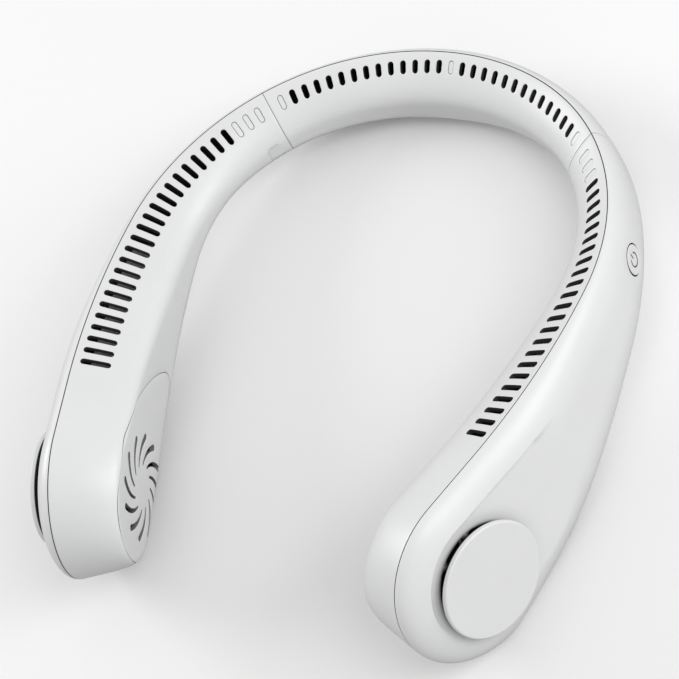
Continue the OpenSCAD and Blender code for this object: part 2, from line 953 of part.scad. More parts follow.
function scroll_point(i, grow) =
    let (turn = scroll_turn*i/scroll_steps, a = tongue_angle - turn,
         r = scroll_r + grow + scroll_growth*pow(turn/scroll_turn, scroll_power))
    [r*cos(a), r*sin(a)];
function scroll_outline(grow, reach) = concat(
    [for (i = [0:scroll_steps]) scroll_point(i, grow)],
    [[outlet_x - reach, scroll_point(scroll_steps, grow)[1]], [outlet_x - reach, outlet_low + grow]]
);
module ears() {
    for (p = [ear_front, ear_rear]) {
        translate(p)
            circle(ear_r);
        rotate(atan2(p[1], p[0]))
            translate([norm(p) - ear_web, -ear_web_w/2])
                square([ear_web, ear_web_w]);
    }
}
module ear_holes() {
    for (p = [ear_front, ear_rear])
        translate(p)
            circle(screw_hole_r);
}
module scroll_housing() {
    color(inner_colour)
        difference() {
            union() {
                translate([0, 0, front_z])
                    linear_extrude(back_z - front_z)
                        difference() {
                            union() {
                                polygon(scroll_outline(scroll_t, 0));
                                ears();
                            }
                            polygon(scroll_outline(0, over));
                            ear_holes();
                        }
                translate([0, 0, back_z])
                    linear_extrude(plate_z - back_z)
                        difference() {
                            union() {
                                polygon(scroll_outline(scroll_t, 0));
                                ears();
                            }
                            difference() {
                                circle(eye_r);
                                circle(hub_r);
                                for (i = [0:pins - 1])
                                    rotate(pin_angle(i))
                                        spoke(0, eye_r, spoke_w);
                            }
                            ear_holes();
                        }
                translate([0, 0, tube_z])
                    cylinder(h = plate_z - tube_z, r = tube_r);
            }
            translate([0, 0, tube_z - over])
                cylinder(h = plate_z - tube_z + 2*over, r = bearing_r + seat);
        }
}
module scroll_cover() {
    color(inner_colour)
        translate([0, 0, front_z - cover_t])
            difference() {
                union() {
                    linear_extrude(cover_t)
                        polygon(scroll_outline(scroll_t, 0));
                    linear_extrude(cover_t)
                        ears();
                }
                translate([0, 0, -over])
                    cylinder(h = cover_t + 2*over, r = cover_eye_r);
                translate([0, 0, -over])
                    linear_extrude(cover_t + 2*over)
                        ear_holes();
            }
}

// Impeller with its outer rotor motor

impeller_top = 1.4;
cup_r = 11;
cup_t = 0.8;
cup_top = 0.7;
cup_base = -7.2;
cup_floor = -6.2;
nave_r = 2.6;
nave_top = -4.8;
glue_gap = 0.01;
blade_near = 12.4;
blade_t = 0.8;
blade_turn = 24;
blade_lean = 1.5;
blade_steps = 4;
ring_near = 15.4;
ring_h = 0.8;
web_r = 16.2;
web_t = 1;
web_z = -4.9;
magnet_near = 8.9;
magnet_base = -5.9;
magnet_top = 0.3;
shaft_top = 3;
bearing_r = 2.4;
bearing_base = -4.2;
bearing_top = 1.2;

function blade_edge(t, side) =
    let (r = blade_near + (impeller_r - ring_h/2 - blade_near)*t,
         a = blade_turn*pow(t, blade_lean) + side*blade_t/2/r*180/PI)
    [r*cos(a), r*sin(a)];
blade_outline = concat(
    [for (i = [0:blade_steps]) blade_edge(i/blade_steps, -1)],
    [for (i = [blade_steps:-1:0]) blade_edge(i/blade_steps, 1)]
);
module impeller() {
    translate([0, 0, impeller_top - impeller_h])
        linear_extrude(impeller_h)
            for (i = [0:blades - 1])
                rotate(360*i/blades)
                    polygon(blade_outline);
    tube(impeller_top - ring_h, ring_h, impeller_r, ring_near);
    tube(impeller_top - impeller_h, ring_h, impeller_r, ring_near);
    tube(web_z, web_t, web_r, cup_r - cup_t);
    tube(cup_base, cup_top - cup_base, cup_r, cup_r - cup_t);
    tube(cup_base, cup_floor - cup_base, cup_r, shaft_r + glue_gap);
    tube(cup_base, nave_top - cup_base, nave_r, shaft_r + glue_gap);
}
module rotor_magnet() {
    tube(magnet_base, magnet_top - magnet_base, cup_r - cup_t - seat, magnet_near);
}
module motor_shaft() {
    translate([0, 0, cup_base])
        cylinder(h = shaft_top - cup_base, r = shaft_r);
}
module bearing() {
    tube(bearing_base, bearing_top - bearing_base, bearing_r, shaft_r + shaft_fit);
}

// Stator with its windings, and the motor board

poles = 9;
stator_near = tube_r + seat;
stator_yoke_r = 4.6;
stator_r = 8.2;
pole_w = 1.4;
shoe_t = 0.9;
shoe_w = 4.2;
core_base = -3.8;
core_top = -0.4;
coil_base = -4.6;
coil_top = 0.6;
coil_w = 2.6;
coil_near = 5;
coil_far = 7.1;
board_near = 3.4;
board_far = 8.6;
motor_board_t = 1;

module stator() {
    tube(core_base, core_top - core_base, stator_yoke_r, stator_near);
    translate([0, 0, core_base])
        linear_extrude(core_top - core_base)
            at_poles() {
                spoke(stator_yoke_r - shoe_t/2, stator_r - shoe_t/2, pole_w);
                spoke(stator_r - shoe_t, stator_r, shoe_w);
            }
    translate([0, 0, coil_base])
        linear_extrude(coil_top - coil_base)
            at_poles()
                spoke(coil_near, coil_far, coil_w);
}
module at_poles() {
    for (i = [0:poles - 1])
        rotate(360/poles*(i + 1/2))
            children();
}

module motor_board() {
    tube(back_z - seat - motor_board_t, motor_board_t, board_far, board_near);
}

// Floor of the air duct along the arm, between the shells

duct_start = 138;
duct_gap = 0.4;
duct_share = 0.4;
duct_t = 1.2;
duct_steps = 6;
duct_fit = 0.3;
duct_list = spread(duct_start, crest_len + outlet_x - duct_gap, duct_steps);
pocket_start = crest_len + panel_tail[0] - 3*panel_tail_r;
function duct_edge(s, half) = half < 0
    ? inner_d(s) - wall - (s > pocket_start ? pocket_floor : 0) - duct_fit
    : min(outer_d(s) - wall, plate_z) - duct_fit;
module duct_floor() {
    points = [for (s = duct_list, lower = [0, 1], half = [-1, 1])
        crest(s) + downward(s)*(duct_share*body_h(s) + lower*duct_t)
            + outward(s)*half*duct_edge(s, half)];
    last = 4*duct_steps;
    faces = concat(
        [for (i = [0:duct_steps - 1], q = [[1, 0], [3, 1], [2, 3], [0, 2]])
            each [[4*i + q[0], 4*i + 4 + q[0], 4*i + 4 + q[1]],
                  [4*i + q[0], 4*i + 4 + q[1], 4*i + q[1]]]],
        [[0, 3, 1], [0, 2, 3], [last, last + 1, last + 3], [last, last + 3, last + 2]]
    );
    polyhedron(points, faces);
}

// Wires from pod to pod along the floor of the body

wire_r = 1.3;
wire_end = 150;
wire_up = 6.2;
wire_out = -1.4;
wire_steps = 24;
wire_sides = 6;
module wire_harness() {
    points = [for (s = spread(-wire_end, wire_end, wire_steps), i = [0:wire_sides - 1])
        let (a = 360*i/wire_sides)
        crest(s) + downward(s)*(body_h(s) - wire_up + wire_r*cos(a))
            + outward(s)*(wire_out + wire_r*sin(a))];
    function id(i, j) = i*wire_sides + j % wire_sides;
    color(dark_colour)
        polyhedron(points, concat(
            [for (i = [0:wire_steps - 1], j = [0:wire_sides - 1])
                each [[id(i, j), id(i + 1, j), id(i + 1, j + 1)],
                      [id(i, j), id(i + 1, j + 1), id(i, j + 1)]]],
            [[for (j = [0:wire_sides - 1]) j],
             [for (j = [wire_sides - 1:-1:0]) wire_steps*wire_sides + j]]
        ));
}

// Pieces in their places

place() neck_inner_shell();
place() neck_outer_shell();
place() left() arm_inner_shell(false);  // left_inner_shell
place() arm_inner_shell(true);  // right_inner_shell
place() left() arm_outer_shell(false);  // left_outer_shell
place() arm_outer_shell(true);  // right_outer_shell
place() left() color(inner_colour) joint_sleeve();  // left_joint_sleeve
place() color(inner_colour) joint_sleeve();  // right_joint_sleeve
place() left() color(shell_colour) joint_plug();  // left_joint_plug
place() color(shell_colour) joint_plug();  // right_joint_plug
place() joint_screws();
place() left() color(shell_colour) grille_panel();  // left_grille_panel
place() color(shell_colour) grille_panel();  // right_grille_panel
place() left() at_pod() color(shell_colour) intake_disc();  // left_intake_disc
place() at_pod() color(shell_colour) intake_disc();  // right_intake_disc
place() left() at_pod() scroll_housing();  // left_scroll_housing
place() at_pod() scroll_housing();  // right_scroll_housing
place() left() at_pod() scroll_cover();  // left_scroll_cover
place() at_pod() scroll_cover();  // right_scroll_cover
place() left() at_pod() color(dark_colour) impeller();  // left_impeller
place() at_pod() color(dark_colour) impeller();  // right_impeller
place() left() at_pod() color(dark_colour) rotor_magnet();  // left_rotor_magnet
place() at_pod() color(dark_colour) rotor_magnet();  // right_rotor_magnet
place() left() at_pod() color(steel_colour) motor_shaft();  // left_motor_shaft
place() at_pod() color(steel_colour) motor_shaft();  // right_motor_shaft
place() left() at_pod() color(copper_colour) bearing();  // left_bearing
place() at_pod() color(copper_colour) bearing();  // right_bearing
place() left() at_pod() color(copper_colour) stator();  // left_stator
place() at_pod() color(copper_colour) stator();  // right_stator
place() left() at_pod() color(board_colour) motor_board();  // left_motor_board
place() at_pod() color(board_colour) motor_board();  // right_motor_board
place() left() color(cell_colour) battery();  // left_battery
place() color(cell_colour) battery();  // right_battery
place() left() color(inner_colour) duct_floor();  // left_duct_floor
place() color(inner_colour) duct_floor();  // right_duct_floor
place() left() at_pod() color(steel_colour) pod_screws();  // left_screws
place() at_pod() color(steel_colour) pod_screws();  // right_screws
place() power_button();
place() button_spring_pad();
place() tact_switch();
place() control_board();
place() usb_socket();
place() wire_harness();
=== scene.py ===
import json

import bpy
import numpy as np
from mathutils import Matrix, Vector


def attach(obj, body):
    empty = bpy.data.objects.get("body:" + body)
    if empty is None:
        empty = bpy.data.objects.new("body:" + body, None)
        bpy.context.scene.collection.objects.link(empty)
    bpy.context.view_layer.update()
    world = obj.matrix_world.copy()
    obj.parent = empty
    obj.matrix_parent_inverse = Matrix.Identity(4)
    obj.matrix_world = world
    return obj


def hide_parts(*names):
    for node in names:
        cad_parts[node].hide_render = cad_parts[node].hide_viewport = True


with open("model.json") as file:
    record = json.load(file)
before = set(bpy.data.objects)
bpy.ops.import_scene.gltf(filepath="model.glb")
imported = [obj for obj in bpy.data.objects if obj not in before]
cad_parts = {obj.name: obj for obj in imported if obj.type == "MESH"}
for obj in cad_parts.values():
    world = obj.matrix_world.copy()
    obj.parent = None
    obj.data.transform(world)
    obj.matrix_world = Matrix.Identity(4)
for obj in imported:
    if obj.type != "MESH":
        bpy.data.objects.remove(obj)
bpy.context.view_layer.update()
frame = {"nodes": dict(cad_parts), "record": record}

# Lengths are in millimetres and angles in degrees, as in part.scad, until a mesh is made

MM = 0.001
RAD = np.pi / 180

# Crest line of the band: three arcs and a straight, from the middle of the neck to the fan axis
SHOULDER_R = 84.0
ARCS = ((95.0, 23.0), (SHOULDER_R, 68.0), (245.0, 15.7))  # radius and turn of each arc
CREST_LEN = 226.75
JOINT_S = 71.85

# Resting place of the part's own drawing in the frame
REST_TILT = -11.0708
REST_MID = -101.869
REST_LOW = -25.8772

# Sizes that grow from the neck to the pods: at the neck, at the pod, where the growth starts
# along the crest, and over what length
BODY_H = (26.0, 63.5, 94, 155)
LEAN = (5.5, 8.2, 60, 140)
DEPTH = {-1: (13.4, 21.8, 54, 135), 1: (4.0, 7.6, 115, 80)}  # inner half -1, outer half 1

# Rims of each half, at the crest, round the nose and at the keel, each at the neck and at the
# pod: the degrees from upright at which a rim leaves the edge, and how far in it reaches
SLOPE = {-1: ((22, 11.5), (9, 9), (22, 22)), 1: ((12, 12), (0.5, 0.5), (0.5, 0.5))}
REACH = {-1: ((16, 9), (4.5, 4.5), (5, 20)), 1: ((9, 16), (9, 16), (9, 16))}
LEAD = {-1: 0.42, 1: 0.5}  # share of the depth that the first handle of a rim's curve takes
TRAIL = {-1: 0.55, 1: 0.45}  # share of the reach that its last handle takes
LAST_T, LAST_SWING = {-1: 0.6, 1: 0.5}, {-1: 0.1, 1: 0}  # parameter where the face begins

# Air slots along the crest, counted from the middle of the neck
SLOT_PITCH = 4.79
SLOT_W = 2.2
SLOT_DOWN, SLOT_DOWN_GROWTH = 4.5, 2.8  # depth of a slot's middle at the neck, and its growth
SLOT_LEN, SLOT_LEN_GROWTH = 4.6, 6
SLANT, SLANT_FALL = 27, 10  # slope that the slots stand square to, and its fall by the last slot
NECK_SLOTS = 13
FIRST_ARM_SLOT = 18
ARM_SLOTS = 23
FIRST_BLIND_SLOT = FIRST_ARM_SLOT - 2
LAST_ARM_SLOT = FIRST_ARM_SLOT + ARM_SLOTS
LAST_SLOT_S = LAST_ARM_SLOT * SLOT_PITCH
BLIND_DEPTH = 0.3
GROOVE_STEPS = [0.02, 0.2, 0.23, 0.6, 1.1]  # distances in from the edge of a blind slot
GROOVE_DROPS = [0.5, 0.5, 0, 0, 0]  # depth of its groove below its floor, at each of them
# Painted shade in the groove round a blind slot's floor, for the dark there
GROOVE_SHADE = 0.06

WALL = 1.7
SHARP = 35 * RAD  # angle between faces from which their edge is sharp
SHADE_DEPTH = 0.12  # share of a wall's thickness over which painted shade, for dark gaps, grows from its outside
ROLL = 0.14  # radius of the rolled edges
EDGE_PALE = 0.03  # drop from which painted shade darkens a rolled edge, for the dark open line
ROLL_STEPS = np.array([0.0, 0.02, 0.06, ROLL])  # distances from an edge where the roll has rows
SEAM_GAP = 0.17  # half of the open line between the two halves
END_GAP = 0.07  # half of the open line between the neck piece and an arm
NECK_END, ARM_END = JOINT_S - END_GAP, JOINT_S + END_GAP

# Mesh
SLOT_MARGIN = 0.7
SLOT_END = 0.9  # share of a slot's radius at which its round ends have a row
SLOT_SIDE = 0.9  # distance of the columns on both sides of a slot's middle
POD_CELL = 32  # slot cell from which an arm's face is meshed round its pod
POD_COLUMNS = 15
NOSE_COLUMNS = 48
FACE_ROWS = 12
PLAIN_ROWS, SLOTTED_ROWS = {-1: 15, 1: 10}, 5  # rows of a rim below its seam or its slots
CORE_STEPS = 40  # points along each straight line of a hole's core
WELD = 1e-3
HALVINGS = 36
STEP, T_STEP = 1e-3, 5e-5  # steps over a surface for its normals, in lengths and in curve t
GUIDE = 40  # distance from the middle of the body at which outward is as much sideways
TINY, THIN = 1e-30, 1e-6  # least values that are divided by
CHUNKS = 40  # parts in which a long list of points is measured, to save memory


def shares(count):
    """Column of even shares from 0 to 1."""
    return np.linspace(0, 1, count)[:, None]


def ease(t):
    """Smooth step: three times the square less twice the cube."""
    u = np.clip(t, 0, 1)
    return u * u * (3 - 2 * u)


def grown(s, sizes):
    """Size at crest length s, by a smooth step from the neck's to the pod's."""
    neck, pod, start, length = sizes
    return neck + (pod - neck) * ease((np.abs(s) - start) / length)


def body_h(s):
    """Height of the body from crest to keel."""
    return grown(s, BODY_H)


def half_depth(s, half):
    """Full depth of the inner half, -1, or the outer half, 1."""
    return grown(s, DEPTH[half])


POD_R = body_h(CREST_LEN) / 2
KEEL_U = CREST_LEN + np.pi * POD_R
FAN_AXIS = (CREST_LEN, POD_R)


def crest_frame(s):
    """Point of the crest at length s, then the directions along it, down the body and outward:
    each arc adds its radius times the change of the course's sine and cosine."""
    length, side = np.abs(s), np.sign(s)
    x = y = course = 0 * s
    start = 0
    for r, turn in ARCS:
        after = course + np.clip((length - start) / r, 0, turn * RAD)
        x = x + r * (np.sin(after) - np.sin(course))
        y = y + r * (np.cos(after) - np.cos(course))
        start, course = start + r * turn * RAD, after
    rest = np.maximum(0, length - start)
    point = np.stack([side * (x + rest * np.cos(course)), y - rest * np.sin(course), 0 * s], -1)
    course, lean = side * course, grown(s, LEAN) * RAD
    sine, cosine, rise, level = np.sin(course), np.cos(course), np.sin(lean), np.cos(lean)
    along = np.stack([cosine, -sine, 0 * s], -1)
    down = np.stack([sine * rise, cosine * rise, -level], -1)
    outward = np.stack([sine * level, cosine * level, rise], -1)
    return point, along, down, outward


def in_space(x, y, h):
    """Chart to space: x along the crest, and straight on past the fan axis, y down, h outward."""
    s = np.minimum(x, CREST_LEN)
    point, along, down, outward = crest_frame(s)
    return point + along * (x - s)[..., None] + down * y[..., None] + outward * h[..., None]


def station(u):
    """Place on the outline: along the crest, round the nose of the pod and back along the keel.
    Gives the crest length and the angle round the pod, from -90 at the crest to 90 at the keel."""
    s = np.where(u > KEEL_U, CREST_LEN + KEEL_U - u, np.minimum(u, CREST_LEN))
    return s, np.clip((u - CREST_LEN) / POD_R, 0, np.pi) - np.pi / 2


def rim_curve(s, a, half):
    """Cubic curve with two handles from the edge of the body to its face: functions of t for
    the distance in from the edge and for the depth, and how far in the curve reaches. Its slope
    and reach go evenly from the neck to the pod, round the nose from the crest's to the keel's
    by the angle's sine, and to the nose's own by the square of its cosine."""
    low, front = (1 + np.sin(a)) / 2, np.cos(a) ** 2
    share = np.abs(s) / CREST_LEN

    def mix(ends):
        crest, nose, keel = (neck + (pod - neck) * share for neck, pod in ends)
        return (crest * (1 - low) + keel * low) * (1 - front) + nose * front

    slope = mix(SLOPE[half]) * RAD
    reach = np.minimum(mix(REACH[half]), body_h(s) / 2)
    depth = half_depth(s, half)
    lead, trail = depth * LEAD[half], reach * TRAIL[half]

    def distance(t):
        first = 3 * lead * np.sin(slope) * t * (1 - t) ** 2
        return first + 3 * trail * t * t * (1 - t) + reach * t**3

    def fall(t):
        return 3 * lead * np.cos(slope) * t * (1 - t) ** 2 + depth * t * t * (3 - 2 * t)

    return distance, fall, reach


def solve(curve, target):
    """Parameter between 0 and 1 at which a rising curve meets its target, by halving."""
    low, high = np.zeros_like(target), np.ones_like(target)
    for _ in range(HALVINGS):
        mid = (low + high) / 2
        under = curve(mid) < target
        low, high = np.where(under, mid, low), np.where(under, high, mid)
    return (low + high) / 2


def face_depth(x, y, half):
    """Depth of a half at chart point x, y: the lesser of the curves from its two edges, or
    round the nose the one curve from the nearest edge."""
    s = np.minimum(x, CREST_LEN)
    r, past = body_h(s) / 2, x > CREST_LEN
    nose_a, nose_d = np.arctan2(y - r, x - s), r - np.hypot(x - s, y - r)
    depths = []
    for a, d in ((-np.pi / 2, y), (np.pi / 2, 2 * r - y)):
        distance, fall, reach = rim_curve(s, np.where(past, nose_a, a), half)
        depths.append(fall(solve(distance, np.clip(np.where(past, nose_d, d), 0, reach))))
    return np.minimum(*depths)


# Surfaces of the body: each takes two parameters and gives chart x, y and depth


def rim(half):
    """Rim by outline place u and curve parameter t."""

    def chart(u, t):
        s, a = station(u)
        distance, fall, _ = rim_curve(s, a, half)
        r = body_h(s) / 2
        d = distance(t)
        return s + (r - d) * np.cos(a), r + (r - d) * np.sin(a), fall(t)

    return chart


def slant(u):
    """Slope of the shoulder that the air slots stand square to."""
    return (SLANT - SLANT_FALL * np.minimum(1, np.abs(station(u)[0]) / LAST_SLOT_S)) * RAD


def rim_t(u, e, half):
    """Curve parameter at slant length e down the rim."""
    s, a = station(u)
    _, fall, _ = rim_curve(s, a, half)
    return solve(fall, e * np.cos(slant(u)))


def shoulder(half):
    """Rim by outline place u and slant length e, so that round holes stay round."""
    chart = rim(half)
    return lambda u, e: chart(u, rim_t(u, e, half))


def face(half, depth=None):
    """Face by chart x and y, with its depth from the body's own curves or from a function."""
    depth = depth or (lambda x, y: face_depth(x, y, half))
    return lambda x, y: (x, y, depth(x, y))


def edge_shade(drop):
    """Painted shade of a rolled edge, for the dark of the open line: from none at its start to the
    full one at the gap that it faces.
    """
    return SHADE_DEPTH * np.clip((drop - EDGE_PALE) / (ROLL - EDGE_PALE), 0, 1)


def grid_faces(rows, columns, closed):
    """Quads of a grid of points; the columns of a closed one meet again."""
    index = np.arange(rows * columns).reshape(rows, columns)
    if closed:
        index = np.concatenate([index, index[:, :1]], 1)
    return np.stack([index[:-1, :-1], index[:-1, 1:], index[1:, 1:], index[1:, :-1]], -1)


class Skin:
    """Patches of one half's surface, each a grid of points over two parameters."""

    def __init__(self, half):
        self.half, self.patches, self.faces, self.count = half, [], [], 0

    def place(self, surface, p, q):
        """Points of the surface, squeezed between the open seam and the body's full depth."""
        x, y, depth = surface(p, q)
        full = half_depth(np.minimum(x, CREST_LEN), self.half)
        return in_space(x, y, self.half * (SEAM_GAP + depth * (1 - SEAM_GAP / full))), x, y

    def add(self, surface, p, q, drop=0.0, keep=None, closed=False, shade=None):
        """Adds the grid over p and q (rows by columns). Normals are the cross product of two small
        steps over the surface, turned to point out of the body; drop sinks the points along them.
        The shade is painted shade that darkens the points, for the shadow deep in gaps and holes;
        where none is given it is the rolled edge's painted shade towards its gap."""
        at, x, y = self.place(surface, p, q)
        across, _, _ = self.place(surface, p + STEP, q)
        ahead, _, _ = self.place(surface, p, q + (T_STEP if q.max() <= 1 else STEP))
        normal = np.cross(across - at, ahead - at)
        normal /= np.linalg.norm(normal, axis=-1, keepdims=True) + TINY
        s = np.minimum(x, CREST_LEN)
        _, along, down, outward = crest_frame(s)
        edge = along * (x - s)[..., None] + down * (y - body_h(s) / 2)[..., None]
        guide = outward * self.half + edge / GUIDE
        normal *= np.where((normal * guide).sum(-1) < 0, -1, 1)[..., None]
        at = at - normal * (drop * np.ones(p.shape))[..., None]
        rows, columns = p.shape
        quads = grid_faces(rows, columns, closed) + self.count
        if keep is not None:
            quads = quads[keep]
        shade = (edge_shade(drop) if shade is None else shade) * np.ones(p.shape)
        self.patches.append((at.reshape(-1, 3), normal.reshape(-1, 3), s.ravel(), shade.ravel()))
        self.faces.append(quads.reshape(-1, 4))
        self.count += rows * columns

    def add_rings(self, surface, rings, drops=0.0, closed=True, shade=None):
        """Adds lines of points, one after another, as a grid."""
        self.add(surface, rings[..., 0], rings[..., 1], drops, closed=closed, shade=shade)

    def add_cut(self, surface, p, q, drop, holes, hole_surface=None, hole_q=None):
        """Adds a grid with its holes, each as (rows, columns, core, depth if it is blind). A hole
        takes a block out of the grid, and rings go from the block's border to the hole's edge."""
        keep = np.ones((p.shape[0] - 1, p.shape[1] - 1), bool)
        hole_q = q if hole_q is None else hole_q
        for rows, columns, nearest, blind in holes:
            keep[slice(*rows), slice(*columns)] = False
            r, c = block_border(*rows, *columns)
            rings, drops = hole_rings(np.stack([p[r, c], hole_q[r, c]], 1), nearest, blind)
            # Painted shade in a blind slot's groove; other holes get the rolled edge's
            shade = GROOVE_SHADE * (drops > BLIND_DEPTH) if blind else None
            self.add_rings(hole_surface or surface, rings, drops, shade=shade)
        self.add(surface, p, q, drop, keep=keep)

    def stitch(self, surface, outer, inner):
        """Strip of triangles between two rings of chart points with different counts, taken in
        order of their angle round the fan axis."""
        start, angles = [], []
        for ring in (outer, inner):
            angle = angle_round(FAN_AXIS, ring)
            order = np.argsort(angle)
            start.append(self.count)
            angles.append(angle[order])
            self.add(surface, ring[order, 0][None], ring[order, 1][None])
        for one, other, side in ((0, 1, "right"), (1, 0, "left")):
            n, m = len(angles[one]), len(angles[other])
            here, ahead = np.arange(n), (np.arange(n) + 1) % n
            met = (np.searchsorted(angles[other], angles[one][ahead], side) - 1) % m
            far = start[other] + met
            self.faces.append(np.stack([start[one] + here, start[one] + ahead, far, far], 1))

    def welded(self):
        """Points that meet become one, faces that collapse become triangles or go, and every
        face is turned to its points' normals."""
        patches = [np.concatenate(values) for values in zip(*self.patches)]
        key = np.round(patches[0] / WELD).astype(np.int64)
        _, first, where = np.unique(key, axis=0, return_index=True, return_inverse=True)
        points, normals, stations, shades = (values[first] for values in patches)
        faces = where.ravel()[np.concatenate(self.faces)]
        same = faces == np.roll(faces, -1, 1)
        crossed = (faces[:, 0] == faces[:, 2]) | (faces[:, 1] == faces[:, 3])
        loops = [faces[(same.sum(1) == 0) & ~crossed]]
        for k in range(4):
            one = faces[(same.sum(1) == 1) & same[:, k] & ~crossed]
            loops.append(np.delete(one, k, 1))
        tris = np.concatenate(loops[1:])
        turned_faces = []
        for f in (loops[0], tris):
            flat = np.cross(points[f[:, 2]] - points[f[:, 0]], points[f[:, -1]] - points[f[:, 1]])
            wrong = (flat * normals[f].mean(1)).sum(1) < 0
            turned_faces.append(np.where(wrong[:, None], f[:, ::-1], f))
        return points, normals, stations, shades, turned_faces


def thickened(skin):
    """The skin and a copy of it one wall further in, kept on its own side of the parting surface,
    joined along every open edge."""
    points, normals, stations, shades, (quads, tris) = skin.welded()
    point, _, _, outward = crest_frame(stations)
    deep = points - normals * WALL
    rise = ((deep - point) * outward).sum(1) * skin.half - SEAM_GAP
    deep -= outward * (np.minimum(rise, 0) * skin.half)[:, None]
    n = len(points)
    edges = [np.stack([f, np.roll(f, -1, 1)], -1).reshape(-1, 2) for f in (quads, tris)]
    edges = np.concatenate(edges)
    _, back, uses = np.unique(np.sort(edges, 1), axis=0, return_inverse=True, return_counts=True)
    open_edges = edges[uses[back.ravel()] == 1]
    sides = np.concatenate([open_edges[:, ::-1], open_edges + n], 1)
    faces = [*quads, *tris, *(quads[:, ::-1] + n), *(tris[:, ::-1] + n), *sides]
    # The copy one wall in takes the full painted shade, so slots and open lines look dark deep in
    return np.concatenate([points, deep]), faces, np.concatenate([shades, np.ones(n)])


def in_frame(points, mirror=False):
    """Part's own drawing to the frame: mirrored for the left, tilted to its rest, in metres."""
    x, y, z = points.T
    c, s = np.cos(REST_TILT * RAD), np.sin(REST_TILT * RAD)
    side = -1 if mirror else 1
    return MM * np.stack([side * x, y * c - z * s - REST_MID, y * s + z * c - REST_LOW], 1)


def in_scene(name, data):
    """New object that holds the data."""
    made = bpy.data.objects.new(name, data)
    bpy.context.collection.objects.link(made)
    return made


def make_piece(
    name, points, faces, material, mirror=False, body="shell", slot="white_shell", inside=None
):
    """Mesh object from points in millimetres; a mirrored one has its faces turned round. The
    attribute holds painted shade for the dark in gaps and holes, full one wall in."""
    faces = [list(map(int, f[::-1] if mirror else f)) for f in faces]
    mesh = bpy.data.meshes.new(name)
    mesh.from_pydata(in_frame(points, mirror).tolist(), [], faces)
    if inside is not None:
        depth = mesh.attributes.new("inside", "FLOAT", "POINT")
        depth.data.foreach_set("value", inside.astype(np.float32))
    mesh.shade_smooth()
    mesh.set_sharp_from_angle(angle=SHARP)
    piece = in_scene(name, mesh)
    mesh.materials.append(material)
    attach(piece, body)
    return piece


def fine_piece(name, form, material, mirror=False, body="shell"):
    """Piece that takes a CAD node's place. Its form is the points, the faces and the attribute."""
    points, faces, inside = form
    piece = make_piece(name + "_fine", points, faces, material, mirror, body, inside=inside)
    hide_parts(name)


# Holes: a border of grid points, and a core that the hole's edge keeps one radius away from


def core_line(points, radii):
    """Core along a line of points with a radius at each, for slots and round holes."""
    points = np.atleast_2d(points)
    radii = np.broadcast_to(radii, len(points))

    def nearest(border):
        gap = np.linalg.norm(border[:, None] - points[None], axis=2) - radii
        k = gap.argmin(1)
        return points[k], radii[k]

    return nearest


def between(a, b):
    """Points along the straight line from a to b."""
    t = shares(CORE_STEPS)
    return np.array(a) * (1 - t) + np.array(b) * t


def core_box(middle, half_size, radius):
    """Core of a rectangle with rounded corners: the nearest point of the box within them."""

    def nearest(border):
        return np.clip(border, np.array(middle) - half_size, np.array(middle) + half_size), radius

    return nearest


def roll_drop(distance):
    """Fall of a rolled edge at a distance from it: a quarter circle."""
    return ROLL - np.sqrt(np.maximum(0, ROLL**2 - (ROLL - np.minimum(distance, ROLL)) ** 2))


def ring_drops(flat):
    """Drops of rings of which the first ones are flat and the last ones the rolled edge."""
    return np.concatenate([np.zeros(flat), roll_drop(ROLL_STEPS[::-1])])[:, None]


def hole_rings(border, nearest, blind=None):
    """Rings from a border to the rolled edge of a hole, with the drop of each. A blind hole goes
    down to its depth and closes on its core."""
    core, radius = nearest(border)
    radius = np.broadcast_to(radius, len(border))[:, None]
    away = border - core
    away /= np.linalg.norm(away, axis=1, keepdims=True)
    edge = core + away * (radius + ROLL)
    rings = [border, (border + edge) / 2]
    drops = ring_drops(len(rings))
    rings += [core + away * (radius + w) for w in ROLL_STEPS[::-1]]
    if blind:
        rings += [core + away * np.maximum(radius - w, 0) for w in GROOVE_STEPS]
        drops = np.concatenate([drops, blind + np.array(GROOVE_DROPS)[:, None]])
    return np.array(rings), drops


def block_border(r0, r1, c0, c1):
    """Row and column numbers round a block of a grid."""
    top = [(r0, c) for c in range(c0, c1)]
    right = [(r, c1) for r in range(r0, r1)]
    bottom = [(r1, c) for c in range(c1, c0, -1)]
    left = [(r, c0) for r in range(r1, r0, -1)]
    return np.array(top + right + bottom + left).T


# Columns along the crest and rows down the rims

CELL = np.array([-SLOT_PITCH / 2, -SLOT_SIDE, 0, SLOT_SIDE])


def cell_columns(first, last):
    """Crest lengths of the columns of slots first to last, four to a slot."""
    return (np.arange(first, last + 1)[:, None] * SLOT_PITCH + CELL).ravel()


def cell_start(cell):
    """Crest length at which a slot's cell starts."""
    return (cell - 0.5) * SLOT_PITCH


def column_at(columns, place):
    """Number of the column nearest to a place."""
    return int(np.argmin(np.abs(columns - place)))


def slot_shape(s):
    """Slant length of a slot's middle, and half of its length without the round ends."""
    share = np.minimum(1, np.abs(s) / LAST_SLOT_S)
    middle = (SLOT_DOWN + SLOT_DOWN_GROWTH * share) / np.cos(slant(s))
    grow = ease((np.abs(s) - JOINT_S / 2) / (LAST_SLOT_S - JOINT_S / 2))
    return middle, (SLOT_LEN + SLOT_LEN_GROWTH * grow - SLOT_W) / 2


SLOT_FRACTIONS = np.array([-1 / 3, 0, 1 / 3])
SLOT_ROWS = 8
BEFORE_SLOTS = len(ROLL_STEPS) + 1


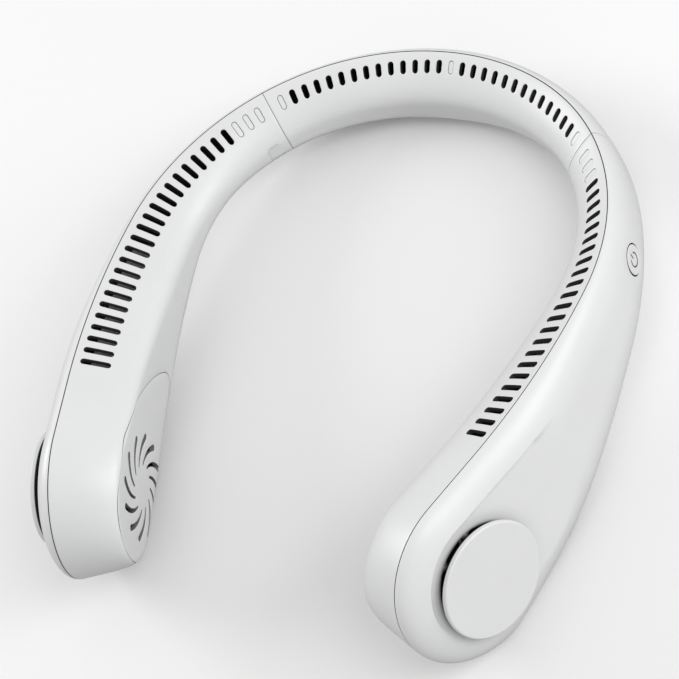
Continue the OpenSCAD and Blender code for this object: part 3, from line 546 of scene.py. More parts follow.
def crest_rows(u, half):
    """Curve parameters of the rows from the crest down: the rolled seam, two rows to the slots,
    the slots' eight rows and five more. Gives the slant lengths of the first rows too."""
    middle, length = slot_shape(u)
    r = SLOT_W / 2
    first = middle - length - r - SLOT_MARGIN
    rows = [w * np.ones_like(u) for w in ROLL_STEPS] + [(first + ROLL) / 2, first]
    rows += [middle - length - SLOT_END * r, middle - length]
    rows += [middle + length * 2 * f for f in SLOT_FRACTIONS]
    rows += [middle + length, middle + length + SLOT_END * r]
    rows += [middle + length + r + SLOT_MARGIN]
    e = np.array(rows)
    t = rim_t(np.broadcast_to(u, e.shape), e, half)
    return with_rows_below(t, u, half, SLOTTED_ROWS), e


def with_rows_below(t, u, half, count):
    """Rows t, and even ones from the last of them to the face."""
    return np.concatenate([t, t[-1] + (last_t(u, half) - t[-1]) * shares(count + 1)[1:]])


def seam_rows(u, half):
    """Curve parameters of the rows of the rolled seam."""
    e = ROLL_STEPS[:, None] * np.ones_like(u)
    return rim_t(np.broadcast_to(u, e.shape), e, half)


def plain_rows(u, half):
    """Curve parameters of the rows of a rim without slots: the rolled seam, then even steps."""
    return with_rows_below(seam_rows(u, half), u, half, PLAIN_ROWS[half])


def last_t(u, half):
    """Curve parameter at which the rim gives way to the face: it swings with the sine of the
    angle round the pod, from more at the crest to less at the keel."""
    return LAST_T[half] - LAST_SWING[half] * np.sin(station(u)[1])


def end_drops(columns, ends):
    """Drop of each point for the rolled edges across the ends."""
    drop = np.zeros(columns.shape)
    for end in ends:
        drop = np.maximum(drop, roll_drop(np.abs(columns - end)))
    return drop


def row_drops(rows, columns, ends=()):
    """Drop of each point for a rolled seam along the first rows and across the ends."""
    drop = np.zeros((rows, len(columns)))
    drop[: len(ROLL_STEPS)] = roll_drop(ROLL_STEPS)[:, None]
    return np.maximum(drop, end_drops(columns, ends))


def slot_holes(columns, numbers, blind_numbers):
    """Holes of the air slots in a rim with the given columns."""
    holes = []
    for k in numbers:
        s, c0 = k * SLOT_PITCH, column_at(columns, cell_start(k))
        middle, length = slot_shape(s)
        core = core_line(between((s, middle - length), (s, middle + length)), SLOT_W / 2)
        depth = BLIND_DEPTH if k in blind_numbers else None
        rows = (BEFORE_SLOTS, BEFORE_SLOTS + SLOT_ROWS)
        holes.append((rows, (c0, c0 + len(CELL)), core, depth))
    return holes


def add_rim(skin, u, t, e, ends, holes):
    """Rim of outline places u and rows t, its holes cut in slant lengths e."""
    u, drop, half = np.broadcast_to(u, t.shape), row_drops(len(t), u, ends), skin.half
    skin.add_cut(rim(half), u, t, drop, holes, shoulder(half), e)


def add_slotted_rim(skin, u, numbers, blind_numbers=(), ends=()):
    """Rim along the crest with its slots."""
    t, e = crest_rows(u, skin.half)
    add_rim(skin, u, t, e, ends, slot_holes(u, numbers, blind_numbers))


def add_plain_rim(skin, u, ends=(), holes=()):
    """Rim without slots; the slant length is the depth over the cosine of the slope."""
    t = plain_rows(u, skin.half)
    _, fall, _ = rim_curve(*station(u), skin.half)
    add_rim(skin, u, t, fall(t) / np.cos(slant(u)), ends, holes)


def keel_u(s):
    """Outline place on the keel, across from crest length s."""
    return CREST_LEN + KEEL_U - s


def face_edges(s, half):
    """Chart y at which the face starts under the crest's rim and ends above the keel's."""
    return [rim(half)(u, last_t(u, half))[1] for u in (s, keel_u(s))]


def face_grid(s, half):
    """Chart points of the face under crest lengths s, in even rows from rim to rim."""
    top, keel = face_edges(s, half)
    y = top + (keel - top) * shares(FACE_ROWS + 1)
    return np.broadcast_to(s, y.shape), y


def end_columns(first, last):
    """Columns of the rolled end at a seam, then the even ones up to last."""
    return np.concatenate([first + ROLL_STEPS, [(first + ROLL + last) / 2]])


# Columns of an arm from its seam to the cut, from there to the fan axis, and round the nose
POD_FIRST = cell_start(POD_CELL)
ARM_S = np.concatenate([
    end_columns(ARM_END, cell_start(FIRST_BLIND_SLOT)),
    cell_columns(FIRST_BLIND_SLOT, POD_CELL - 1),
    [POD_FIRST],
])
POD_S = np.concatenate([
    cell_columns(POD_CELL, LAST_ARM_SLOT),
    np.linspace(cell_start(LAST_ARM_SLOT + 1), CREST_LEN, POD_COLUMNS),
])
NOSE_U = np.linspace(CREST_LEN, KEEL_U, NOSE_COLUMNS + 1)

# Outlines of the pod, in its own frame: x along the crest from the fan axis, y down from it

PANEL_CIRCLES = np.array(
    [[5.5, 0, 20.5], [-4, -1.6, 21.5], [-16, -2.5, 18.8], [-18, 0, 18]]
    + [[-24, -2, 15.8], [-30, -2.4, 12.4], [-35, -2.5, 9.3], [-40, -2, 6]]
)
PANEL_GAP = 0.17
RECESS_CIRCLES = np.array([[0, 0, 21.2], [0, 14, 21.2], [-62, -11, 9], [-62, 14, 9]])
RECESS_FLARE = 30.0
RECESS_DEPTH = 2.4
RECESS_TOP = 23.5
RECESS_TILT = 2.9
RECESS_FALL = 0.6
RECESS_LEVEL, RECESS_LIFT = 20.0, 0.0027  # past the disc the floor curves up to the arm
RECESS_FOOT, RECESS_EDGE = 0.9, 0.25  # widths of the rounds at the foot and the edge of its wall
HEADING_STEPS = 1440
HEADINGS = np.linspace(0, 2 * np.pi, HEADING_STEPS + 1)[:-1]
HEADING_VECTORS = np.stack([np.cos(HEADINGS), np.sin(HEADINGS)], 1)


def hull_reach(circles):
    """Support of the hull of some circles: how far it reaches along each heading."""
    return (HEADING_VECTORS @ circles[:, :2].T + circles[:, 2]).max(1)


def panel_radius(centre, angle, grow):
    """Distance from a centre to the panel's outline, grown, along an angle: the least that any
    heading allows."""
    reach = hull_reach(PANEL_CIRCLES) + grow - HEADING_VECTORS @ np.array(centre)
    ray = np.stack([np.cos(angle), np.sin(angle)], 1) @ HEADING_VECTORS.T
    return np.where(ray > THIN, reach / np.maximum(ray, THIN), np.inf).min(1)


def hull_distance(circles, x, y):
    """Signed distance outside the hull of the circles."""
    reach = hull_reach(circles)
    chunks = np.array_split(np.stack([x.ravel(), y.ravel()], 1), CHUNKS)
    out = np.concatenate([(chunk @ HEADING_VECTORS.T - reach).max(1) for chunk in chunks])
    return out.reshape(x.shape)


def recess_depth(x, y):
    """Height of the recess behind the disc: a tilted floor that curves up into the arm, and a
    flared wall with a soft foot."""
    px, py = x - CREST_LEN, y - POD_R
    floor = half_depth(CREST_LEN, 1) - RECESS_DEPTH
    floor = floor + (py + RECESS_TOP) * np.tan(RECESS_TILT * RAD) + px * np.tan(RECESS_FALL * RAD)
    floor = floor + RECESS_LIFT * np.maximum(-px - RECESS_LEVEL, 0) ** 2
    wall = floor + hull_distance(RECESS_CIRCLES, px, py) / np.tan(RECESS_FLARE * RAD)
    return soft_max(floor, wall, RECESS_FOOT)


def soft_max(a, b, width):
    """Larger of two values, with a round of the given width where they meet."""
    near = np.maximum(width - np.abs(a - b), 0) / width
    return np.maximum(a, b) + near**2 * width / 4


def outer_pod_depth(x, y):
    """Outer face of a pod: the body's curve or the recess, whichever is lower, with a soft edge."""
    return -soft_max(-face_depth(x, y, 1), -recess_depth(x, y), RECESS_EDGE)


def pod_loop(half):
    """Chart points round a pod where its face begins: crest side, nose, keel side and the cut."""
    u = np.concatenate([POD_S, NOSE_U[1:-1], keel_u(POD_S[::-1])])
    x, y, _ = rim(half)(u, last_t(u, half))
    top, keel = face_edges(np.array([POD_FIRST]), half)
    cut = (keel + (top - keel) * np.linspace(0, 1, FACE_ROWS + 1))[1:-1]
    cut = np.stack([np.full(len(cut), POD_FIRST), cut], 1)
    return np.concatenate([np.stack([x, y], 1), cut])


def add_pod_rims(skin):
    """Rims of a pod from the cut round the nose and back, with slots on the neck side, whose
    rows change round the nose to the plain rim's."""
    half = skin.half
    if half < 0:
        add_slotted_rim(skin, POD_S, range(POD_CELL, LAST_ARM_SLOT + 1))
        t = nose_rows(NOSE_U, half, crest_rows(POD_S, half)[0][:, -1])
        skin.add(rim(half), np.broadcast_to(NOSE_U, t.shape), t, row_drops(len(t), NOSE_U))
    else:
        add_plain_rim(skin, POD_S)
        add_plain_rim(skin, NOSE_U)
    add_plain_rim(skin, keel_u(POD_S[::-1]))


def nose_rows(nose, half, first_rows):
    """Rows round the nose: the share of the way down at the crest end is kept all round."""
    seam, last = seam_rows(nose, half), last_t(nose, half)
    below = first_rows[len(ROLL_STEPS) - 1 :]
    share = (below - below[0]) / (below[-1] - below[0])
    even = np.linspace(0, 1, len(share))
    turn = ease((nose - CREST_LEN) / (KEEL_U - CREST_LEN))
    share = share[:, None] * (1 - turn) + even[:, None] * turn
    return np.concatenate([seam, (seam[-1] + (last - seam[-1]) * share)[1:]])


# Finishes


def shader(name):
    """New material, its tree and its shader."""
    material = bpy.data.materials.new(name)
    material.use_nodes = True
    tree = material.node_tree
    return material, tree, tree.nodes["Principled BSDF"]


def node(tree, kind, inputs=None, **settings):
    """New shader node of a kind, with its settings and inputs."""
    made = tree.nodes.new("ShaderNode" + kind)
    for key, value in settings.items():
        setattr(made, key, value)
    fill(tree, made, inputs or {})
    return made


def fill(tree, made, inputs):
    """Links or sets a node's inputs; a colour gets its alpha."""
    for key, value in inputs.items():
        socket = made.inputs[key]
        if isinstance(value, bpy.types.NodeSocket):
            tree.links.new(value, socket)
        else:
            socket.default_value = (*value, 1) if socket.type == "RGBA" else value


MIX_A, MIX_B, MIX_OUT = 6, 7, 2  # colour sockets of a Mix node
DRIFT_SCALE, DRIFT_DETAIL, DRIFT_STOPS = 28.0, 3.0, (0.3, 0.7)
GRAIN_SCALE, GRAIN_DETAIL, GRAIN_HEIGHT = 900.0, 4.0, 0.2 * MM
GLOSS_SPREAD = 0.03
FLOOR_SEEN, FLOOR_BOUNCE = 0.95, 0.45  # floor's tone to the camera and to other rays
DISC_DARK = (9.05, 9.35)  # heights between which painted shade under a disc gives way to white
# Tone of the painted shade on the discs' underside, for the dark gap behind them
DISC_UNDER_SHADE = 0.03


def mixed(tree, share, a, b):
    """Colour between a and b, each a socket or a colour."""
    inputs = {"Factor": share, MIX_A: a, MIX_B: b}
    return node(tree, "Mix", inputs, data_type="RGBA").outputs[MIX_OUT]


def finish(name, dark, light, rough, relief, scale=GRAIN_SCALE, metallic=0.0, shade=None):
    """Moulded or drawn material: the colour drifts between two tones over a few centimetres, the
    roughness varies a little, and a fine grain lifts the surface. A shade is painted shade: the
    tone that the points marked by the attribute darken to, for the dark in gaps and holes."""
    material, tree, bsdf = shader(name)
    place = node(tree, "TexCoord").outputs["Object"]
    noise = {"Vector": place, "Scale": DRIFT_SCALE, "Detail": DRIFT_DETAIL}
    drift = node(tree, "TexNoise", noise).outputs["Fac"]
    tones = node(tree, "ValToRGB", {"Fac": drift})
    for stop, share, tone in zip(tones.color_ramp.elements, DRIFT_STOPS, (dark, light)):
        stop.position, stop.color = share, (*tone, 1)
    noise = {"Vector": place, "Scale": scale, "Detail": GRAIN_DETAIL}
    grain = node(tree, "TexNoise", noise).outputs["Fac"]
    gloss = {"Value": grain, "To Min": rough - GLOSS_SPREAD, "To Max": rough + GLOSS_SPREAD}
    bump = {"Height": grain, "Strength": relief, "Distance": GRAIN_HEIGHT}
    colour = tones.outputs["Color"]
    # Painted shade: the attribute mixes the colour towards the shade tone
    if shade:
        wall = node(tree, "Attribute", attribute_name="inside").outputs["Fac"]
        deep = node(tree, "MapRange", {"Value": wall, "From Max": SHADE_DEPTH})
        colour = mixed(tree, deep.outputs["Result"], colour, shade)
    looks = {
        "Base Color": colour,
        "Roughness": node(tree, "MapRange", gloss).outputs["Result"],
        "Normal": node(tree, "Bump", bump).outputs["Normal"],
        "Metallic": metallic,
    }
    fill(tree, bsdf, looks)
    return material


def grey(value, tint=0.0):
    """Grey whose red is lower and whose blue is higher by a share."""
    return (value * (1 - tint), value, value * (1 + tint))


# Name, darker and lighter tone, roughness and relief, then the grain's scale, how far it is
# metal, and the painted shade of the depths of gaps and holes
WHITES = (grey(0.80, 0.004), grey(0.83, 0.004))
FINISHES = {
    name: finish(name, *looks)
    for name, *looks in (
        # The whites' shades are painted shade for dark slots, gaps and holes; the panel's is
        # lighter
        ("white_shell", *WHITES, 0.34, 0.05, GRAIN_SCALE, 0.0, grey(0.05)),
        ("panel_white", *WHITES, 0.36, 0.05, GRAIN_SCALE, 0.0, grey(0.22)),
        ("inner_plastic", grey(0.60), grey(0.66), 0.5, 0.1),
        ("black_plastic", grey(0.030), grey(0.042), 0.45, 0.1),
        ("magnet", grey(0.018), grey(0.03), 0.6, 0.2),
        ("steel", grey(0.55, 0.01), grey(0.62, 0.01), 0.28, 0.05, 1500.0, 1.0),
        ("bronze", (0.42, 0.27, 0.12), (0.55, 0.36, 0.17), 0.4, 0.1, 2000.0, 1.0),
        ("windings", (0.45, 0.17, 0.07), (0.60, 0.25, 0.10), 0.35, 0.3, 2500.0, 0.6),
        ("board", (0.01, 0.10, 0.04), (0.015, 0.14, 0.06), 0.3, 0.05),
        ("cell", (0.22, 0.30, 0.42), (0.28, 0.37, 0.50), 0.35, 0.05),
        ("silicone", grey(0.50), grey(0.56), 0.6, 0.1),
        ("wire", grey(0.02), grey(0.03), 0.5, 0.1),
        ("symbol_grey", grey(0.06), grey(0.09), 0.5, 0.05),
    )
}


def disc_white():
    """White of the discs with painted shade on their underside, for the dark gap behind them: the
    height along the fan axis, the same on both sides because it is taken from the size of x, tells
    the two apart."""
    material = finish("disc_white", *WHITES, 0.34, 0.05)
    tree = material.node_tree
    bsdf = tree.nodes["Principled BSDF"]
    low, high = in_frame(on_body(*FAN_AXIS, 0, 0, [0.0, 1.0]))
    axis = (high - low) / MM
    place = node(tree, "TexCoord").outputs["Object"]
    parts = node(tree, "SeparateXYZ", {"Vector": place}).outputs
    size = node(tree, "Math", {0: parts["X"]}, operation="ABSOLUTE").outputs["Value"]
    folded = {"X": size, "Y": parts["Y"], "Z": parts["Z"]}
    folded = node(tree, "CombineXYZ", folded).outputs["Vector"]
    along = {0: folded, 1: tuple(axis)}
    along = node(tree, "VectorMath", along, operation="DOT_PRODUCT").outputs["Value"]
    start, end = float(low @ axis) + np.array(DISC_DARK) * MM
    edge = {"Value": along, "From Min": start, "From Max": end}
    pale = node(tree, "MapRange", edge).outputs["Result"]
    white_tones = bsdf.inputs["Base Color"].links[0].from_socket
    # Painted shade: below the fade heights the white turns to the dark underside tone
    fill(tree, bsdf, {"Base Color": mixed(tree, pale, grey(DISC_UNDER_SHADE), white_tones)})
    return material


def floor_paint():
    """Matt floor, pale to the camera and a mid grey to the light that it throws back up."""
    material, tree, bsdf = shader("floor_paint")
    seen = node(tree, "LightPath").outputs["Is Camera Ray"]
    colour = mixed(tree, seen, grey(FLOOR_BOUNCE), grey(FLOOR_SEEN))
    fill(tree, bsdf, {"Base Color": colour, "Roughness": 0.9, "Specular IOR Level": 0.0})
    return material


# Shells


def neck_shell(half):
    """Neck piece's inner or outer half, the same on both sides of its middle."""
    skin = Skin(half)
    ends = (-NECK_END, NECK_END)
    last = NECK_SLOTS + 1
    first = cell_start(-last)
    side = end_columns(-NECK_END, first)
    s = np.concatenate([side, cell_columns(-last, last), -np.append(side, first)[::-1]])
    if half < 0:
        add_slotted_rim(skin, s, range(-last, last + 1), (-last, 0, last), ends)
    else:
        add_plain_rim(skin, s, ends)
    add_plain_rim(skin, keel_u(s), [keel_u(end) for end in ends])
    x, y = face_grid(s, half)
    skin.add(face(half), x, y, end_drops(x, ends))
    return thickened(skin)


def add_arm_face(skin, cells, core):
    """Face of an arm from the seam to the cut, with a hole over some slot cells."""
    x, y = face_grid(ARM_S, skin.half)
    columns = [column_at(ARM_S, cell_start(cell)) for cell in cells]
    holes = [((0, FACE_ROWS), columns, core, None)] if cells else []
    skin.add_cut(face(skin.half), x, y, end_drops(x, [ARM_END]), holes)


PLUG_S, PLUG_DOWN = JOINT_S + 6.65, 14.0
PLUG_HALF, PLUG_CORNER = np.array([3.15, 2.65]), 1.35
SOCKET_SHIFT, SOCKET_DEPTH = 10.5, 6.4
SOCKET_HALF_L, SOCKET_HALF_T = 4.8, 1.9
BUTTON_S, BUTTON_DOWN, BUTTON_R, BUTTON_HOLE_R = 116.0, 14.6, 5.0, 5.2
PLUG_CELLS, SOCKET_CELLS, BUTTON_CELLS = (16, 18), (25, 29), (23, 27)  # slot cells cut for each
SOCKET_ROWS = (7, 15)
PANEL_CENTRE = (-12.0, 0.0)
RING_STEPS = 7


def socket_line():
    """Ends of the charging port's middle line on the keel. The socket stands square to the body at
    the button, so its line is a tangent within the arc of the shoulder: the arctangent gives the
    crest length, and the root of the sum of squares the depth."""
    x = SOCKET_SHIFT + np.array([-1, 1]) * (SOCKET_HALF_L - SOCKET_HALF_T)
    r = SHOULDER_R - SOCKET_DEPTH
    u = keel_u(BUTTON_S + SHOULDER_R * np.arctan2(x, r))
    return np.stack([u, (SHOULDER_R - np.hypot(x, r) - SEAM_GAP) / np.cos(slant(u))], 1)


def inner_arm_shell(socket):
    """Neck side of an arm and its pod, with the air slots, the plug's pocket, the hole of the
    grille panel and, on one arm, the charging port."""
    skin = Skin(-1)
    blind = range(FIRST_BLIND_SLOT, FIRST_ARM_SLOT + 1)
    add_slotted_rim(skin, ARM_S, range(FIRST_BLIND_SLOT, POD_CELL), blind, [ARM_END])
    u, holes = keel_u(ARM_S[::-1]), []
    if socket:
        columns = [column_at(u, keel_u(cell_start(cell))) for cell in SOCKET_CELLS[::-1]]
        core = core_line(between(*socket_line()), SOCKET_HALF_T)
        holes = [(SOCKET_ROWS, columns, core, None)]
    add_plain_rim(skin, u, [keel_u(ARM_END)], holes)
    plug = core_box((PLUG_S, PLUG_DOWN), PLUG_HALF - PLUG_CORNER, PLUG_CORNER)
    add_arm_face(skin, PLUG_CELLS, plug)
    add_pod_rims(skin)
    loop = pod_loop(skin.half)
    angle = angle_round(np.add(FAN_AXIS, PANEL_CENTRE), loop)
    add_panel_edge(skin, loop, RING_STEPS, PANEL_CENTRE, angle, ROLL_STEPS, True)
    return thickened(skin)


def add_panel_edge(skin, start, count, centre, angle, grow, closed):
    """Rings from a line of points to the rolled outline of the grille panel, grown by each step
    of its roll, both at angles from a centre."""
    middle, steps = np.add(FAN_AXIS, centre), np.linspace(0, 1, count + 1)[:-1]
    rolled = [polar(panel_radius(centre, angle, g), angle, middle) for g in grow[::-1]]
    rings = np.array([start * (1 - w) + rolled[0] * w for w in steps] + rolled)
    skin.add_rings(face(skin.half), rings, ring_drops(count), closed)


OPENINGS = 9
OPENING_NEAR, OPENING_FAR, OPENING_SPREAD, OPENING_R = 9.5, 16.3, 12.0, 1.2
# Within DARK_R the floor behind the disc gets painted shade, for the dark under the disc
RING_NEAR, RING_FAR, FLOOR_R, DARK_R = 7.6, 18.1, 18.7, 18.3
OPENING_COLUMNS, OPENING_ROWS, HUB_ROWS = 9, 7, 4
CREASE_SAMPLES, CREASE_ROUNDS = 160, 3
CREASE_ELSE = 0.9  # place of the crease on a ray that has none
NEAR_ROWS, NEAR_POWER, FAR_ROWS, FAR_POWER = 9, 0.7, 8, 1.3  # rows get closer at the crease


def polar(r, angle, middle=FAN_AXIS):
    """Chart points round the fan axis, or round another middle."""
    return np.stack([middle[0] + r * np.cos(angle), middle[1] + r * np.sin(angle)], -1)


def angle_round(middle, points):
    """Angle at which each chart point lies from a middle."""
    away = points - np.array(middle)
    return np.arctan2(away[:, 1], away[:, 0])


def smoothed(values):
    """Running mean round a closed loop, each value weighing twice its neighbours."""
    for _ in range(CREASE_ROUNDS):
        values = (np.roll(values, 1) + 2 * values + np.roll(values, -1)) / 4
    return values


def add_intake(skin, surface):
    """Ring of air openings in the floor behind the disc, the hub within it and the way out to
    the rays of the pod's face. The floor under the disc gets painted shade for the dark gap there."""
    cell = 2 * np.pi / OPENINGS
    across = np.linspace(-cell / 2, cell / 2, OPENING_COLUMNS)
    along = np.linspace(RING_NEAR, RING_FAR, OPENING_ROWS)
    corners = np.array([OPENING_NEAR, OPENING_FAR, OPENING_FAR])
    spread = OPENING_SPREAD * RAD * np.array([0, -1, 1])
    r, c = block_border(0, OPENING_ROWS - 1, 0, OPENING_COLUMNS - 1)
    for turn in cell * np.arange(OPENINGS):
        at = polar(corners, turn + spread)
        edge = np.concatenate([between(a, b) for a, b in zip(at, np.roll(at, -1, 0))])
        border = polar(along[r], turn + across[c])
        rings, drops = hole_rings(border, core_line(edge, OPENING_R))
        # Painted shade on the floor under the disc: full up to a millimetre short of DARK_R, none
        # past it
        from_axis = np.linalg.norm(rings - FAN_AXIS, axis=-1)
        dark = SHADE_DEPTH * np.clip(DARK_R - from_axis, 0, 1)
        skin.add_rings(surface, rings, drops, shade=dark)
    around = (np.arange(OPENINGS)[:, None] * cell + across[:-1]).ravel()
    # The hub under the disc gets full painted shade
    hub = polar(RING_NEAR * shares(HUB_ROWS), around)
    skin.add_rings(surface, hub, shade=SHADE_DEPTH)
    return polar(RING_FAR, around)


def outer_arm_shell(button):
    """Outside of an arm and its pod, with the recess behind the disc and, on one arm, the hole
    of the power button."""
    skin = Skin(1)
    add_plain_rim(skin, ARM_S, [ARM_END])
    add_plain_rim(skin, keel_u(ARM_S[::-1]), [keel_u(ARM_END)])
    core = core_line((BUTTON_S, BUTTON_DOWN), BUTTON_HOLE_R)
    add_arm_face(skin, BUTTON_CELLS if button else (), core)
    add_pod_rims(skin)
    loop = pod_loop(skin.half)
    inner = polar(FLOOR_R, angle_round(FAN_AXIS, loop))
    t = shares(CREASE_SAMPLES)
    x, y = (inner[:, k] + (loop - inner)[:, k] * t for k in (0, 1))
    over = recess_depth(x, y) > face_depth(x, y, 1)
    crease = t[np.maximum(over.argmax(0), 1), 0]
    crease = smoothed(np.where(over.any(0), crease, CREASE_ELSE))
    near = shares(NEAR_ROWS) ** NEAR_POWER * crease
    far = crease + (1 - crease) * shares(FAR_ROWS)[1:] ** FAR_POWER
    w = np.concatenate([near, far])[..., None]
    surface = face(skin.half, outer_pod_depth)
    skin.add_rings(surface, inner + (loop - inner) * w)
    skin.stitch(surface, inner, add_intake(skin, surface))
    return thickened(skin)


SWIRL_SLOTS = 12
SWIRL_NEAR, SWIRL_FAR, SWIRL_TURN = 7.7, 17.0, -35 * RAD
SWIRL_THIN, SWIRL_WIDE = 0.4, 1.1
SWIRL_INNER, SWIRL_OUTER = 6.6, 18.7
SWIRL_COLUMNS, SWIRL_ROWS, SWIRL_HUB_ROWS, SWIRL_STEPS = 9, 9, 5, 60
PANEL_ROWS, PANEL_STEP, PANEL_SAMPLES = 6, 1.2, 5


def swirl(r):
    """Turn of the swirl's curve at radius r, in proportion to its way out."""
    return SWIRL_TURN * (r - SWIRL_NEAR) / (SWIRL_FAR - SWIRL_NEAR)


def swirled(r, angle):
    """Chart points whose angle is measured from the swirl's curve."""
    return polar(r, angle + swirl(r))


def grille_panel():
    """Panel in the neck side of a pod, with its swirl of comma slots."""
    skin, surface = Skin(-1), face(-1)
    cell = 2 * np.pi / SWIRL_SLOTS
    shift = swirl(SWIRL_OUTER)
    along = np.linspace(SWIRL_INNER, SWIRL_OUTER, SWIRL_ROWS)
    t = np.linspace(0, 1, SWIRL_STEPS)
    radii = SWIRL_THIN + (SWIRL_WIDE - SWIRL_THIN) * t
    for turn in cell * np.arange(SWIRL_SLOTS):
        edge = turn + np.array([-cell / 2, cell / 2])
        angle = np.linspace(*edge, PANEL_SAMPLES) + shift
        far = panel_radius((0, 0), angle, -PANEL_GAP).max()
        across = np.linspace(*edge, max(SWIRL_COLUMNS, int(far * cell / PANEL_STEP) + 1))
        core = swirled(SWIRL_NEAR + (SWIRL_FAR - SWIRL_NEAR) * t, turn)
        r, c = block_border(0, SWIRL_ROWS - 1, 0, len(across) - 1)
        rings, drops = hole_rings(swirled(along[r], across[c]), core_line(core, radii))
        skin.add_rings(surface, rings, drops)
        hub = swirled(SWIRL_INNER * shares(SWIRL_HUB_ROWS), across)
        skin.add_rings(surface, hub, closed=False)
        angle, inward = across + shift, -PANEL_GAP - ROLL_STEPS
        start = polar(SWIRL_OUTER, angle)
        add_panel_edge(skin, start, PANEL_ROWS, (0, 0), angle, inward, False)
    return thickened(skin)


def on_body(s, down, x, y, z):
    """Points in the frame that stands on the body at one crest length."""
    point, along, lower, outward = crest_frame(np.array(s))
    x, y, z = (np.reshape(v, (-1, 1)) for v in (x, y, z))
    return point + along * x + lower * (down + y) + outward * z


BUTTON_PROUD = 0.12
BUTTON_ROUND = 0.35
BUTTON_PALE, BUTTON_FADE = -0.16, 0.08  # height from which painted shade darkens its side, and over how much
FLANGE_R, FLANGE_TOP, FLANGE_LOW = 6.2, 2.3, 3.1
STEM_R, STEM_LOW = 1.5, 4.85
DISH_R, DISH = 4.1, 0.12
DISH_ROWS, CORNER_ROWS, BUTTON_SIDES = 12, 7, 96
BUTTON_TOP = half_depth(BUTTON_S, 1) + BUTTON_PROUD


def dish_fall(r):
    """Fall of the cap's dish at radius r: the square of one less the square of its share."""
    return DISH * (1 - np.minimum(r / DISH_R, 1) ** 2) ** 2


def power_button():
    """Button as a profile turned about its axis: a dished cap with a rolled edge, the flange
    that keeps it in the shell and the stem to the switch."""
    r = DISH_R * np.linspace(0, 1, DISH_ROWS)
    dish = np.stack([r, -dish_fall(r)], 1)
    a = np.linspace(0, np.pi / 2, CORNER_ROWS)
    corner = BUTTON_R - BUTTON_ROUND
    roll = np.stack([corner + BUTTON_ROUND * np.sin(a), BUTTON_ROUND * (np.cos(a) - 1)], 1)
    foot = [[BUTTON_R, -FLANGE_TOP], [FLANGE_R, -FLANGE_TOP], [FLANGE_R, -FLANGE_LOW]]
    foot += [[STEM_R, -FLANGE_LOW], [STEM_R, -STEM_LOW], [0, -STEM_LOW]]
    profile = np.concatenate([dish, roll, foot])
    turn = np.linspace(0, 2 * np.pi, BUTTON_SIDES + 1)[:-1]
    x, y = profile[:, :1] * np.cos(turn), profile[:, :1] * np.sin(turn)
    z = BUTTON_TOP + np.broadcast_to(profile[:, 1:], x.shape)
    points = on_body(BUTTON_S, BUTTON_DOWN, x, y, z)
    # Painted shade on the button's side, for the dark gap between it and the shell
    dark = SHADE_DEPTH * np.clip((BUTTON_TOP + BUTTON_PALE - z) / BUTTON_FADE, 0, 1)
    return points, grid_faces(*x.shape, True).reshape(-1, 4), dark.ravel()


SYMBOL_R, SYMBOL_STROKE, SYMBOL_OPEN = 2.3, 0.5, 40 * RAD
SYMBOL_BAR = (0.6, 2.9)
SYMBOL_H = 0.03
ARC_STEPS, BAR_STEPS = 60, 8


def power_symbol():
    """Printed sign on the button: an open circle and a bar towards the crest, each a flat band
    along its own path."""
    a = np.linspace(SYMBOL_OPEN, 2 * np.pi - SYMBOL_OPEN, ARC_STEPS)
    arc = SYMBOL_R * np.stack([np.sin(a), -np.cos(a)], 1)
    bar = np.stack([np.zeros(BAR_STEPS), -np.linspace(*SYMBOL_BAR, BAR_STEPS)], 1)
    points, faces, count = [], [], 0
    for path in (arc, bar):
        ahead = np.gradient(path, axis=0)
        ahead /= np.linalg.norm(ahead, axis=1, keepdims=True)
        side = np.stack([-ahead[:, 1], ahead[:, 0]], 1) * SYMBOL_STROKE / 2
        corners = np.stack([path - side, path + side, path + side, path - side], 1)
        x, y = corners[..., 0], corners[..., 1]
        z = BUTTON_TOP - dish_fall(np.hypot(x, y)) + np.array([1, 1, -1, -1]) * SYMBOL_H
        points.append(on_body(BUTTON_S, BUTTON_DOWN, x, y, z))
        faces += list(grid_faces(*x.shape, True).reshape(-1, 4) + count)
        faces += [np.arange(4)[::-1] + count, np.arange(4) + count + x.size - 4]
        count += x.size
    return np.concatenate(points), faces


# Light, floor and camera

LAMP_SIZE = 0.8
LAMPS = (  # places in metres, and power in watts
    ("left_lamp", (-1.36, 0.0, 0.63), 7.8),
    ("right_lamp", (1.28, 0.46, 0.63), 6.5),
    ("top_lamp", (0.96, 0.0, 1.15), 4.3),
)
WORLD_LIGHT = 0.61
FLOOR_HALF = 4


def add_lamp(name, place, power):
    """Round lamp turned to the origin."""
    data = bpy.data.lights.new(name, "AREA")
    data.shape, data.size, data.energy = "DISK", LAMP_SIZE, power
    lamp = in_scene(name, data)
    lamp.location = place
    lamp.rotation_mode = "QUATERNION"
    lamp.rotation_quaternion = Vector(place).to_track_quat("Z", "Y")


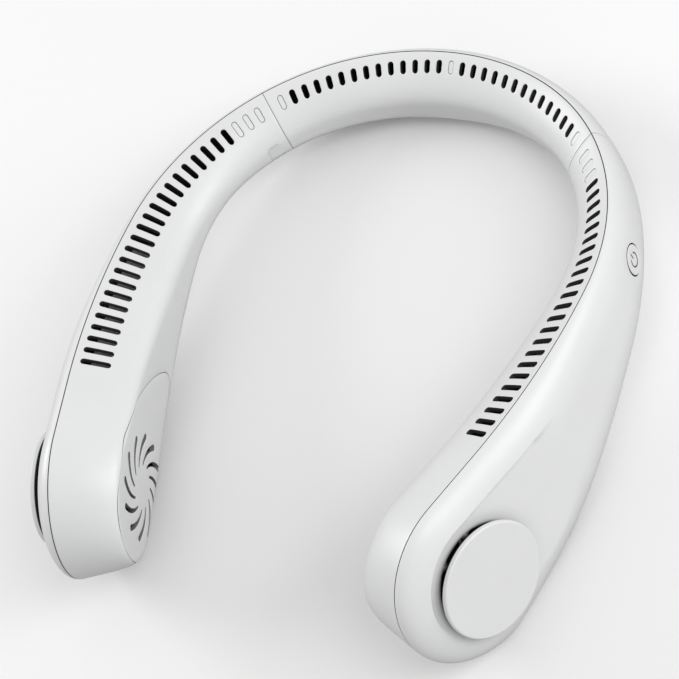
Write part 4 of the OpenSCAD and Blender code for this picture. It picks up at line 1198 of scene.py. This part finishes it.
for part in frame["record"]["subparts"]:  # every CAD node gets its slot's finish
    for held in frame["nodes"][part["node"]].material_slots:
        held.material = FINISHES[part["material_slot"]]
for disc in ("right_intake_disc", "left_intake_disc"):
    frame["nodes"][disc].material_slots[0].material = disc_white()
white = FINISHES["white_shell"]
for side, mirror in (("right", False), ("left", True)):
    fine_piece(side + "_inner_shell", inner_arm_shell(not mirror), white, mirror)
    fine_piece(side + "_outer_shell", outer_arm_shell(not mirror), white, mirror)
    fine_piece(side + "_grille_panel", grille_panel(), FINISHES["panel_white"], mirror)
fine_piece("neck_inner_shell", neck_shell(-1), white)
fine_piece("neck_outer_shell", neck_shell(1), white)
fine_piece("power_button", power_button(), white, body="button")
symbol_grey = FINISHES["symbol_grey"]
make_piece("power_symbol", *power_symbol(), symbol_grey, body="button", slot="black_plastic")

CAMERA_PLACE = (0.5562, -0.3127, 0.8630)
CAMERA_RIGHT = (0.8355, 0.3366, -0.4343)
CAMERA_UP = (-0.1417, 0.8956, 0.4217)
CAMERA_BACK = (0.5309, -0.2908, 0.7960)
CAMERA_LENS, CAMERA_SENSOR = 169.66, 36

camera_data = bpy.data.cameras.new("camera")
camera_data.lens, camera_data.sensor_width = CAMERA_LENS, CAMERA_SENSOR
camera = in_scene("camera", camera_data)
turn = Matrix([CAMERA_RIGHT, CAMERA_UP, CAMERA_BACK]).transposed()
camera.matrix_world = Matrix.Translation(CAMERA_PLACE) @ turn.to_4x4()
bpy.context.scene.camera = camera

floor_mesh = bpy.data.meshes.new("floor")
corners = [(x * FLOOR_HALF, y * FLOOR_HALF, 0) for x, y in ((-1, -1), (1, -1), (1, 1), (-1, 1))]
floor_mesh.from_pydata(corners, [], [(0, 1, 2, 3)])
floor_mesh.materials.append(floor_paint())
floor = in_scene("floor", floor_mesh)

for lamp in LAMPS:
    add_lamp(*lamp)
world = bpy.data.worlds.new("studio")
bpy.context.scene.world = world
world.use_nodes = True
studio = world.node_tree.nodes["Background"]
fill(world.node_tree, studio, {"Color": (1, 1, 1), "Strength": WORLD_LIGHT})
bpy.context.scene.view_settings.view_transform = "Standard"
